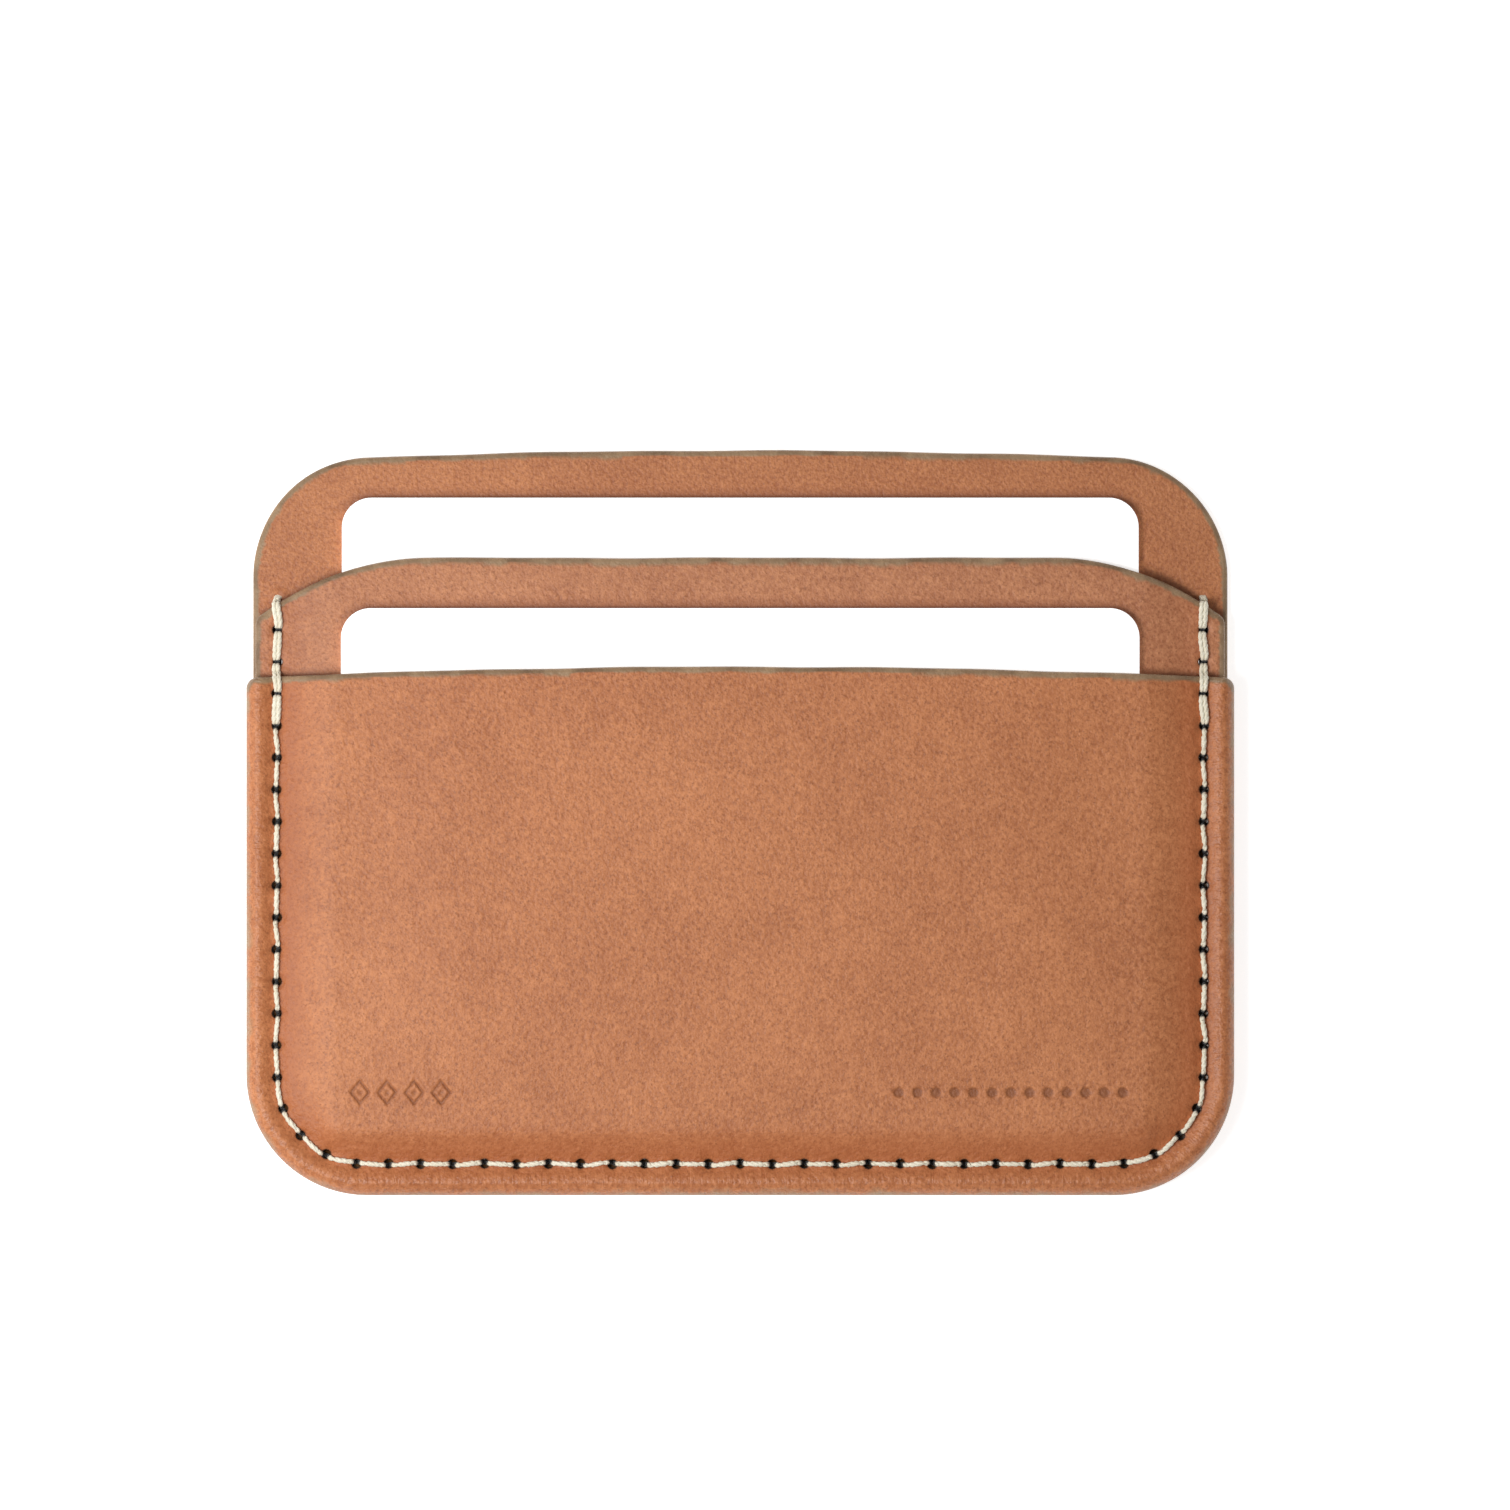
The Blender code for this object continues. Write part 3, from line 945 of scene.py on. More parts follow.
def face_out(mesh: bpy.types.Mesh) -> None:
    """Turn every face outwards.

    Args:
        mesh: The closed mesh to change.
    """
    bm = bmesh.new()
    bm.from_mesh(mesh)
    bmesh.ops.recalc_face_normals(bm, faces=bm.faces[:])
    bm.to_mesh(mesh)
    bm.free()


def place_piece(name: str, mesh: bpy.types.Mesh) -> bpy.types.Object:
    """Put a mesh into the scene at the origin.

    Args:
        name: Name of the object.
        mesh: Its mesh.

    Returns:
        The object.
    """
    piece = bpy.data.objects.new(name, mesh)
    bpy.context.scene.collection.objects.link(piece)
    return piece


def settle(piece: bpy.types.Object, name: str) -> bpy.types.Object:
    """Turn a piece with a modifier into a plain mesh piece.

    Args:
        piece: The object whose evaluated shape is kept.
        name: Name of the plain piece.

    Returns:
        The plain mesh object; the first one is removed.
    """
    bpy.context.view_layer.update()
    graph = bpy.context.evaluated_depsgraph_get()
    mesh = bpy.data.meshes.new_from_object(piece.evaluated_get(graph), depsgraph=graph)
    bpy.data.objects.remove(piece, do_unlink=True)
    mesh.name = name
    mesh.shade_smooth()
    return place_piece(name, mesh)


def file_piece(piece: bpy.types.Object, body: str, slot: str, *nodes: str) -> None:
    """Hang a piece on its body and hide the frame's nodes that it replaces.

    Args:
        piece: The piece.
        body: The body that it rides on.
        slot: Name of a material slot; not used.
        *nodes: The frame's nodes that it replaces.
    """
    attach(piece, body)
    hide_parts(*nodes)


# ------------------------------------------------------------------ geometry node trees

class NodeRecipe:
    """A geometry node tree with named inputs, put on a piece as a modifier."""

    def __init__(self, name: str, sizes: dict[str, str]) -> None:
        """Start the tree.

        Args:
            name: Name of the tree.
            sizes: Name of each input and its socket type.
        """
        self.tree = bpy.data.node_groups.new(name, "GeometryNodeTree")
        face = self.tree.interface
        face.new_socket("Geometry", in_out="INPUT", socket_type="NodeSocketGeometry")
        self.keys: dict[str, str] = {}
        for label, kind in sizes.items():
            item = face.new_socket(label, in_out="INPUT", socket_type=kind)
            self.keys[label] = item.identifier
        face.new_socket("Geometry", in_out="OUTPUT", socket_type="NodeSocketGeometry")
        self.graph = Graph(self.tree)
        self.source = self.graph.add("NodeGroupInput")

    def size(self, label: str) -> bpy.types.NodeSocket:
        """An input's socket inside the tree."""
        return self.source.outputs[label]

    def finish(self, geometry: bpy.types.NodeSocket) -> None:
        """Realize, set the material and close the tree.

        Args:
            geometry: The shape that the tree has made.
        """
        real = self.graph.add("GeometryNodeRealizeInstances", {"Geometry": geometry})
        dressed = self.graph.add("GeometryNodeSetMaterial", {
            "Geometry": real.outputs[0], "Material": self.size("Material")})
        end = self.graph.add("NodeGroupOutput")
        self.graph.put(end.inputs[0], dressed.outputs[0])

    def apply(self, piece: bpy.types.Object, values: dict[str, object]) -> None:
        """Put the tree on a piece.

        Args:
            piece: The piece.
            values: Name of each input and its value.
        """
        modifier = piece.modifiers.new(self.tree.name, "NODES")
        modifier.node_group = self.tree
        for label, value in values.items():
            modifier[self.keys[label]] = value


def leather_relief() -> NodeRecipe:
    """Tree that raises the slow swirl and the coarse grain of a hide along its normals.

    Returns:
        The recipe, whose heights and sizes are in metres.
    """
    recipe = NodeRecipe("leather_relief", {
        "Swirl height": "NodeSocketFloat", "Swirl size": "NodeSocketFloat",
        "Grain height": "NodeSocketFloat", "Grain size": "NodeSocketFloat",
        "Seed": "NodeSocketFloat", "Material": "NodeSocketMaterial"})
    graph = recipe.graph
    place = graph.add("GeometryNodeInputPosition").outputs[0]
    lift = None
    for label in ("Swirl", "Grain"):
        scale = graph.math("DIVIDE", 1.0, recipe.size(label + " size"))
        noise = graph.add("ShaderNodeTexNoise", {
            "Vector": place, "W": recipe.size("Seed"), "Scale": scale, "Detail": 2.0},
            noise_dimensions="4D").outputs[0]
        centred = graph.math("SUBTRACT", noise, 0.5)
        part = graph.math("MULTIPLY", centred, recipe.size(label + " height"))
        lift = part if lift is None else graph.math("ADD", lift, part)
    weight = graph.add("GeometryNodeInputNamedAttribute", {"Name": "relief"})
    lift = graph.math("MULTIPLY", lift, weight.outputs[0])
    normal = graph.add("GeometryNodeInputNormal").outputs[0]
    offset = graph.add("ShaderNodeVectorMath", {0: normal, "Scale": lift}, operation="SCALE")
    moved = graph.add("GeometryNodeSetPosition", {
        "Geometry": recipe.size("Geometry"), "Offset": offset.outputs[0]})
    recipe.finish(moved.outputs[0])
    return recipe


def laid_yarn() -> NodeRecipe:
    """Tree that lays twisted plies along a chain of edges.

    Returns:
        The recipe; the chain's girth attribute scales the yarn.
    """
    recipe = NodeRecipe("laid_yarn", {
        "Ply count": "NodeSocketInt", "Ply radius": "NodeSocketFloat",
        "Ply spread": "NodeSocketFloat", "Lay length": "NodeSocketFloat",
        "Sides": "NodeSocketInt", "Material": "NodeSocketMaterial"})
    graph = recipe.graph
    girth = graph.add("GeometryNodeInputNamedAttribute", {"Name": "girth"}).outputs[0]
    chain = graph.add("GeometryNodeMeshToCurve", {"Mesh": recipe.size("Geometry")})
    sized = graph.add("GeometryNodeSetCurveRadius", {
        "Curve": chain.outputs[0], "Radius": girth})
    copies = graph.add("GeometryNodeDuplicateElements", {
        "Geometry": sized.outputs[0], "Amount": recipe.size("Ply count")}, domain="SPLINE")
    along = graph.add("GeometryNodeSplineParameter").outputs["Length"]
    turns = graph.math("DIVIDE", along, recipe.size("Lay length"))
    start = graph.math("DIVIDE", copies.outputs["Duplicate Index"], recipe.size("Ply count"))
    angle = graph.math("MULTIPLY", graph.math("ADD", turns, start), 2 * math.pi)
    radius = graph.add("GeometryNodeInputRadius").outputs[0]
    spread = graph.math("MULTIPLY", radius, recipe.size("Ply spread"))
    normal = graph.add("GeometryNodeInputNormal").outputs[0]
    tangent = graph.add("GeometryNodeInputTangent").outputs[0]
    across = graph.add("ShaderNodeVectorMath", {0: tangent, 1: normal},
                       operation="CROSS_PRODUCT").outputs[0]
    parts = []
    for direction, turn in ((normal, "COSINE"), (across, "SINE")):
        share = graph.math("MULTIPLY", graph.math(turn, angle), spread)
        parts.append(graph.add("ShaderNodeVectorMath", {0: direction, "Scale": share},
                               operation="SCALE").outputs[0])
    offset = graph.add("ShaderNodeVectorMath", {0: parts[0], 1: parts[1]}, operation="ADD")
    plies = graph.add("GeometryNodeSetPosition", {
        "Geometry": copies.outputs["Geometry"], "Offset": offset.outputs[0]})
    section = graph.add("GeometryNodeCurvePrimitiveCircle", {
        "Resolution": recipe.size("Sides"), "Radius": recipe.size("Ply radius")})
    tube = graph.add("GeometryNodeCurveToMesh", {
        "Curve": plies.outputs[0], "Profile Curve": section.outputs[0], "Scale": radius,
        "Fill Caps": True})
    recipe.finish(tube.outputs[0])
    return recipe


# ------------------------------------------------------------------ the holder

@dataclass
class Holder:
    """Sizes that the three panels share, read from the frame where it holds them."""

    leather: float = 1.2
    seam_gap: float = 0.4
    rise: float = 0.66
    close: float = 0.16
    valley: float = 0.25
    channel: float = 0.5
    hole_radius: float = 0.50
    yarn_half: float = 0.30

    seam_top: float = 24.1
    foot_corner: float = 13.0
    pocket_half: float = 43.1
    pocket_foot: float = 7.3
    stamp_height: float = 11.1
    rim_press: Point = (-1.7, 1.1)

    foot: float = field(init=False)
    seam: SeamLine = field(init=False)
    shapes: dict[Layer, PanelShape] = field(init=False)
    pocket: Pocket = field(init=False)
    stamps: Stamps = field(init=False)
    cards: dict[Layer, CardOutline] = field(init=False)
    hole_places: Array = field(init=False)

    def __post_init__(self) -> None:
        """Read the outlines from the frame."""
        self.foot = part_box("front_panel")[0].y / MM
        low, high = (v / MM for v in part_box("front_thread"))
        self.seam = SeamLine(high.x - self.yarn_half, low.y + self.yarn_half, self.seam_top)
        self.shapes = {layer: self.outline(layer) for layer in Layer}
        self.pocket = Pocket(self.pocket_half, self.foot + self.pocket_foot)
        self.stamps = Stamps(self.foot + self.stamp_height)
        self.cards = {Layer.BACK: CardOutline.of("rear_card"),
                      Layer.MIDDLE: CardOutline.of("front_card")}
        self.hole_places = np.array([self.seam.hole(k) for k in range(1, self.seam.stitches)])

    def outline(self, layer: Layer) -> PanelShape:
        """Outline of one panel, with its width, foot and crown from the frame.

        Args:
            layer: The panel.

        Returns:
            Its outline.
        """
        low, high = (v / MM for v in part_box(layer.value))
        foot_corner = self.foot_corner - (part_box("front_panel")[1].x / MM - high.x)
        if layer is Layer.BACK:
            return PanelShape(high.x, low.y, high.y, foot_corner, 12.8, arch=1064.0)
        if layer is Layer.MIDDLE:
            return PanelShape(high.x, low.y, high.y, foot_corner, 1.5, shoulder=34.0,
                              drop=6.5, top_turn=54.0)
        return PanelShape(high.x, low.y, high.y, foot_corner, 1.2, arch=1170.0)

    def base(self, layer: Layer) -> float:
        """Height of a panel's underside at the seam."""
        steps = list(Layer).index(layer)
        return steps * (self.leather + self.seam_gap)

    def hole_distance(self, x: Array, y: Array) -> Array:
        """Distance to the middle of the nearest hole.

        Args:
            x: Places across the width.
            y: Places up the height.

        Returns:
            The distances.
        """
        nearest = np.full(x.shape, 99.0)
        for hx, hy in self.hole_places:
            nearest = np.minimum(nearest, np.hypot(x - hx, y - hy))
        return nearest

    def pressed_rim(self, x: Array, y: Array) -> Array:
        """Share by which the rim's layers are pressed together."""
        return ramp(self.seam.distance(x, y), *self.rim_press)

    def covered(self, layer: Layer, x: Array, y: Array) -> Array:
        """Share by which the next panel lies over this one.

        Args:
            layer: This panel.
            x: Places across the width.
            y: Places up the height.

        Returns:
            0 in the open to 1 where it is covered.
        """
        if layer is Layer.FRONT:
            return np.zeros_like(x)
        above = Layer.MIDDLE if layer is Layer.BACK else Layer.FRONT
        return smooth(self.shapes[above].depth(x, y) / 0.8 + 0.2)


@dataclass
class LeatherPanel:
    """One leather panel with its rounded edges, punched holes and drawn-down seam."""

    holder: Holder
    layer: Layer
    slot: str
    finish: LeatherFinish
    recipe: NodeRecipe
    grid: float = 0.6
    fine_grid: float = 0.34
    band: float = 2.4
    stamp_grid: float = 0.11
    stamp_gap: float = 0.1
    rim_step: float = 0.45
    face_round: float = 0.45
    under_round: float = 0.22
    bead: float = 0.24
    droop: float = 0.32
    lip: float = 0.75
    waver: float = 0.035
    # Painted shade in the crevice just outside the edge of the panel that lies on this one.
    crevice_shade: float = 0.9
    crevice_shade_width: float = 0.5
    # Band over each card's top edge: wear from the card, with the painted shadow of the card's
    # edge in it.
    rub_and_shadow: float = 1.3
    rub_and_shadow_width: float = 0.75
    swirl: Point = (0.16, 15.0)
    grain: Point = (0.022, 1.3)
    hole_steps: int = 12
    hole_clear: float = 0.42
    edge_clear: float = 0.25
    pinch: float = 0.13
    pinch_width: float = 0.32
    bed: float = 0.05
    bed_width: float = 0.42
    sewn_fade: float = 1.2
    groove_edge: Point = (0.55, 0.3)
    valley_edge: Point = (0.35, 1.1)
    lip_edge: Point = (2.3, 1.2)
    bead_place: float = 2.0
    bead_width: float = 0.80
    collar_height: float = 0.20
    burnish_edge: Point = (0.30, 0.34)
    rim_burnish: Point = (0.42, 0.9)
    wrinkle: Point = (0.55, 2.2)
    # Band of painted shade just inside the stitch line.
    seam_valley_shade_place: float = -1.0
    seam_valley_shade_width: float = 2.2

    @property
    def shape(self) -> PanelShape:
        """This panel's outline."""
        return self.holder.shapes[self.layer]

    def panel_holes(self) -> list[Point]:
        """Find the holes that go through this panel.

        Returns:
            Their middles.
        """
        places = self.holder.hole_places
        deep = self.shape.depth(places[:, 0], places[:, 1])
        return [tuple(p) for p in places[deep > self.holder.hole_radius].tolist()]

    def loose_points(self) -> Array:
        """Points of the plan away from its rims and holes.

        Returns:
            A staggered grid, finer beside the seam and finest under the pressed marks.
        """
        shape, holder = self.shape, self.holder
        groups = []
        for step, chosen in ((self.grid, self.far_from_seam), (self.fine_grid, self.near_seam)):
            across = np.arange(-shape.half_width, shape.half_width, step)
            up = np.arange(shape.foot, shape.crown, step * 0.87)
            x, y = np.meshgrid(across, up)
            x = x + (np.arange(len(up)) % 2 * step / 2)[:, None]
            points = np.column_stack((x.ravel(), y.ravel()))
            groups.append(points[chosen(points)])
        if self.layer is Layer.FRONT:
            for x0, x1, y0, y1 in holder.stamps.zones():
                x, y = np.meshgrid(np.arange(x0, x1, self.stamp_grid),
                                   np.arange(y0, y1, self.stamp_grid))
                groups.append(np.column_stack((x.ravel(), y.ravel())))
        points = np.vstack(groups)
        x, y = points.T
        clear = shape.depth(x, y) > self.face_round + self.edge_clear
        clear &= holder.hole_distance(x, y) > holder.hole_radius + self.hole_clear
        return points[clear]

    def stamped(self, points: Array) -> Array:
        """Tell which points lie in the fine zones under the pressed marks.

        Args:
            points: The points, one to a row.

        Returns:
            True for each point in such a zone.
        """
        inside = np.zeros(len(points), bool)
        if self.layer is Layer.FRONT:
            x, y = points.T
            gap = self.stamp_gap
            for x0, x1, y0, y1 in self.holder.stamps.zones():
                inside |= (x > x0 - gap) & (x < x1 + gap) & (y > y0 - gap) & (y < y1 + gap)
        return inside

    def near_seam(self, points: Array) -> Array:
        """True for points in the finer band beside the seam."""
        away = np.abs(self.holder.seam.distance(points[:, 0], points[:, 1]))
        return (away < self.band) & ~self.stamped(points)

    def far_from_seam(self, points: Array) -> Array:
        """True for points in the open field of the panel."""
        away = np.abs(self.holder.seam.distance(points[:, 0], points[:, 1]))
        return (away >= self.band) & ~self.stamped(points)

    def sheet(self) -> Sheet:
        """Plan of the panel.

        Returns:
            A sheet whose rims close up towards its edge and round its holes.
        """
        insets = [self.face_round * (1 - math.cos(a)) for a in np.linspace(0, math.pi / 2, 6)]
        rims = [self.shape.loop(inset, self.rim_step) for inset in insets]
        radius = self.holder.hole_radius
        collars = []
        for centre in self.panel_holes():
            for wider, turn in ((0.07, 15.0), (0.16, 0.0), (0.30, 15.0)):
                collars += arc(centre, radius + wider, turn, turn + 360.0, self.hole_steps)[:-1]
        holes = [arc(c, radius, 0.0, 360.0, self.hole_steps)[:-1] for c in self.panel_holes()]
        return Sheet(rims, holes, np.vstack((np.array(collars), self.loose_points())))

    def rounding(self, depth: Array, radius: float) -> Array:
        """How far a rounded edge falls away at a depth inside the outline."""
        short = np.clip(radius - depth, 0.0, radius)
        return radius - np.sqrt(radius * radius - short * short)

    def underside(self, x: Array, y: Array) -> Array:
        """Height of the lower face.

        Args:
            x: Places across the width.
            y: Places up the height.

        Returns:
            The heights.
        """
        holder = self.holder
        depth = self.shape.depth(x, y)
        edge = self.rounding(depth, self.under_round)
        away = holder.seam.distance(x, y)
        if self.layer is Layer.BACK:
            past = np.maximum(y - holder.seam.top, 0.0)
            cut = np.hypot(np.abs(away), past)
            groove = 1.0 - ramp(cut, *self.groove_edge)
            return np.maximum(edge, holder.channel * groove)
        steps = list(Layer).index(self.layer)
        lift = steps * holder.rise * holder.pocket.swell(holder.seam, x, y)
        return holder.base(self.layer) + lift - holder.close * holder.pressed_rim(x, y) + edge

    def face(self, x: Array, y: Array) -> Array:
        """Height of the upper face.

        Args:
            x: Places across the width.
            y: Places up the height.

        Returns:
            The heights.
        """
        holder = self.holder
        seam = holder.seam
        depth = self.shape.depth(x, y)
        swell = holder.pocket.swell(seam, x, y)
        steps = list(Layer).index(self.layer)
        height = holder.base(self.layer) + holder.leather + steps * holder.rise * swell
        away = seam.distance(x, y)
        covered = holder.covered(self.layer, x, y)
        sewn = smooth((seam.top + self.sewn_fade - y) / self.sewn_fade) * (1.0 - covered)
        height = height + holder.close * holder.pressed_rim(x, y) * covered
        hole = np.maximum(holder.hole_distance(x, y) - holder.hole_radius, 0.0)
        pinch = bell(hole, self.pinch_width)
        bed = bell(away, self.bed_width)
        height = height - sewn * (self.pinch * pinch + self.bed * bed)
        edge = self.rounding(depth, self.face_round)
        if self.layer is Layer.BACK:
            height = height + self.collar(x, y)
        if self.layer is Layer.FRONT:
            valley = 1.0 - ramp(np.abs(away), *self.valley_edge)
            height = height - holder.valley * valley
            height = height + self.bead * bell(away - self.bead_place, self.bead_width)
            height = height - self.lip * ramp(away, *self.lip_edge)
            height = height - self.droop * swell * holder.pocket.pillow(x, y)
            height = height - holder.stamps.pressed(x, y)
        return height - edge

    def collar(self, x: Array, y: Array) -> Array:
        """Small ridge that each end of the thread pulls up above its hole.

        Args:
            x: Places across the width.
            y: Places up the height.

        Returns:
            The ridge's heights.
        """
        end_x, end_y = self.holder.seam.hole(0)
        ring = bell(np.hypot(np.abs(x) + end_x, y - end_y) - 0.72, 0.22)
        return self.collar_height * ring * ramp(y - end_y, -0.15, 0.4)

    def cut_waver(self, x: Array, y: Array) -> tuple[Array, Array]:
        """Slight waver of the hand-cut edges that no stitches hold.

        Args:
            x: Places across the width.
            y: Places up the height.

        Returns:
            How far each point moves across and up.
        """
        turn = 1.7 * list(Layer).index(self.layer)
        free = ramp(-self.holder.seam.distance(x, y), 1.5, 5.0)
        free = np.maximum(free, ramp(y - self.holder.seam.top, 2.0, 3.0))
        up = np.sin(x / 4.3 + turn) + 0.7 * np.sin(x / 2.1 + 2.3 * turn)
        across = np.sin(y / 2.9 + turn) * np.sign(x) * smooth(np.abs(x) / 20.0)
        near = 1.0 - smooth(self.shape.depth(x, y) / 6.0)
        return self.waver * free * near * across, self.waver * free * near * up

    def weights(self, x: Array, y: Array) -> dict[str, Array]:
        """Attributes that the leather's material and relief read.

        Args:
            x: Places across the width.
            y: Places up the height.

        Returns:
            Name of each attribute and its values.
        """
        holder = self.holder
        depth = self.shape.depth(x, y)
        away = holder.seam.distance(x, y)
        hole = holder.hole_distance(x, y) - holder.hole_radius
        burnish = 1.0 - ramp(depth, *self.burnish_edge)
        if self.layer is Layer.FRONT:
            at_mouth = ramp(y - self.shape.crest(x), -1.6, 0.8)
            rim = self.rim_burnish[0] * (1.0 - smooth(depth / self.rim_burnish[1]))
            burnish = burnish * at_mouth + (1.0 - at_mouth) * rim
        # Painted shade in the valley just inside the stitch line, weaker on the back and middle
        # panels.
        crease = bell(away - self.seam_valley_shade_place, self.seam_valley_shade_width)
        crease = np.where(y < holder.seam.top, crease, 0.0)
        pressed = 0.0 * x
        rolled = 0.0 * x
        if self.layer is Layer.FRONT:
            pressed = holder.stamps.pressed(x, y) / holder.stamps.depth
            rolled = ramp(away, 0.5, 0.8)
        else:
            crease = crease * 0.4
            # Wear with painted shadow: a dark band just above each card's top edge.
            card = holder.cards[self.layer]
            beyond = np.maximum(-card.depth(x, y), 0.0)
            above = ramp(y - card.crown, -2.5, 2.0)
            pressed = self.rub_and_shadow * above * bell(beyond, self.rub_and_shadow_width)
            # Painted shade in the crevice outside the edge of the panel that lies on this one.
            lying = Layer.MIDDLE if self.layer is Layer.BACK else Layer.FRONT
            clear = np.maximum(-holder.shapes[lying].depth(x, y), 0.0)
            pressed = np.maximum(pressed, self.crevice_shade * bell(clear, self.crevice_shade_width))
        return {
            "burnish": burnish,
            "crease": crease,
            "pressed": pressed,
            "rolled": rolled,
            "along": holder.seam.along(x, y) / self.wrinkle[0],
            "away": away / self.wrinkle[1],
            # Painted shade inside the holes.
            "pit": 1.0 - ramp(hole, 0.01, 0.10),
            "relief": ramp(depth, 0.35, 0.6) * ramp(hole, 0.15, 0.5),
        }

    def build(self) -> bpy.types.Object:
        """Make, dress and file the panel.

        Returns:
            The finished piece.
        """
        name = self.layer.value + "_leather"
        mesh = self.sheet().mesh(name, self.underside, self.face, self.weights, self.cut_waver)
        piece = place_piece(name + "_draft", mesh)
        self.recipe.apply(piece, {
            "Swirl height": self.swirl[0] * MM, "Swirl size": self.swirl[1] * MM,
            "Grain height": self.grain[0] * MM, "Grain size": self.grain[1] * MM,
            "Seed": self.finish.seed, "Material": self.finish.material()})
        piece = settle(piece, name)
        file_piece(piece, "holder", self.slot, self.layer.value)
        return piece


@dataclass
class CementFilm:
    """Thin film of cement that shows as a fine line in the glued rim."""

    holder: Holder
    node: str
    under: Layer
    over: Layer
    finish: CementFinish
    thickness: float = 0.05
    inner: float = -0.4
    set_back: float = 0.22
    rim_step: float = 1.5

    def build(self) -> bpy.types.Object:
        """Make and file the film.

        Returns:
            The finished piece.
        """
        holder, seam = self.holder, self.holder.seam
        shape = min((holder.shapes[self.under], holder.shapes[self.over]),
                    key=lambda s: s.half_width)
        outer = shape.half_width - seam.half_width - self.set_back
        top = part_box(self.node)[1].y / MM
        legs = []
        for away in (outer, self.inner):
            corner = seam.corner + away
            centre = (seam.half_width - seam.corner, seam.foot + seam.corner)
            right = arc(centre, corner, 270.0, 360.0, 24) + [(seam.half_width + away, top)]
            legs.append(mirrored(right) + right)
        loop = spaced(legs[0] + legs[1][::-1], self.rim_step)
        middle = holder.base(self.over) - holder.seam_gap / 2
        half = self.thickness / 2
        name = self.node + "_film"
        mesh = Sheet([loop]).mesh(name, lambda x, y: np.full(x.shape, middle - half),
                                  lambda x, y: np.full(x.shape, middle + half))
        mesh.materials.append(self.finish.material())
        piece = place_piece(name, mesh)
        file_piece(piece, "holder", "cement", self.node)
        return piece


class ThreadSide(Enum):
    """Side of the holder that a thread lies on."""

    FRONT = "front_thread"
    REAR = "rear_thread"


@dataclass(frozen=True)
class StrandPoint:
    """One point of a strand: place, share of full girth, and how much painted shade it takes where
    it sinks into its hole.
    """

    x: float
    y: float
    z: float
    girth: float
    sunk_shade: float


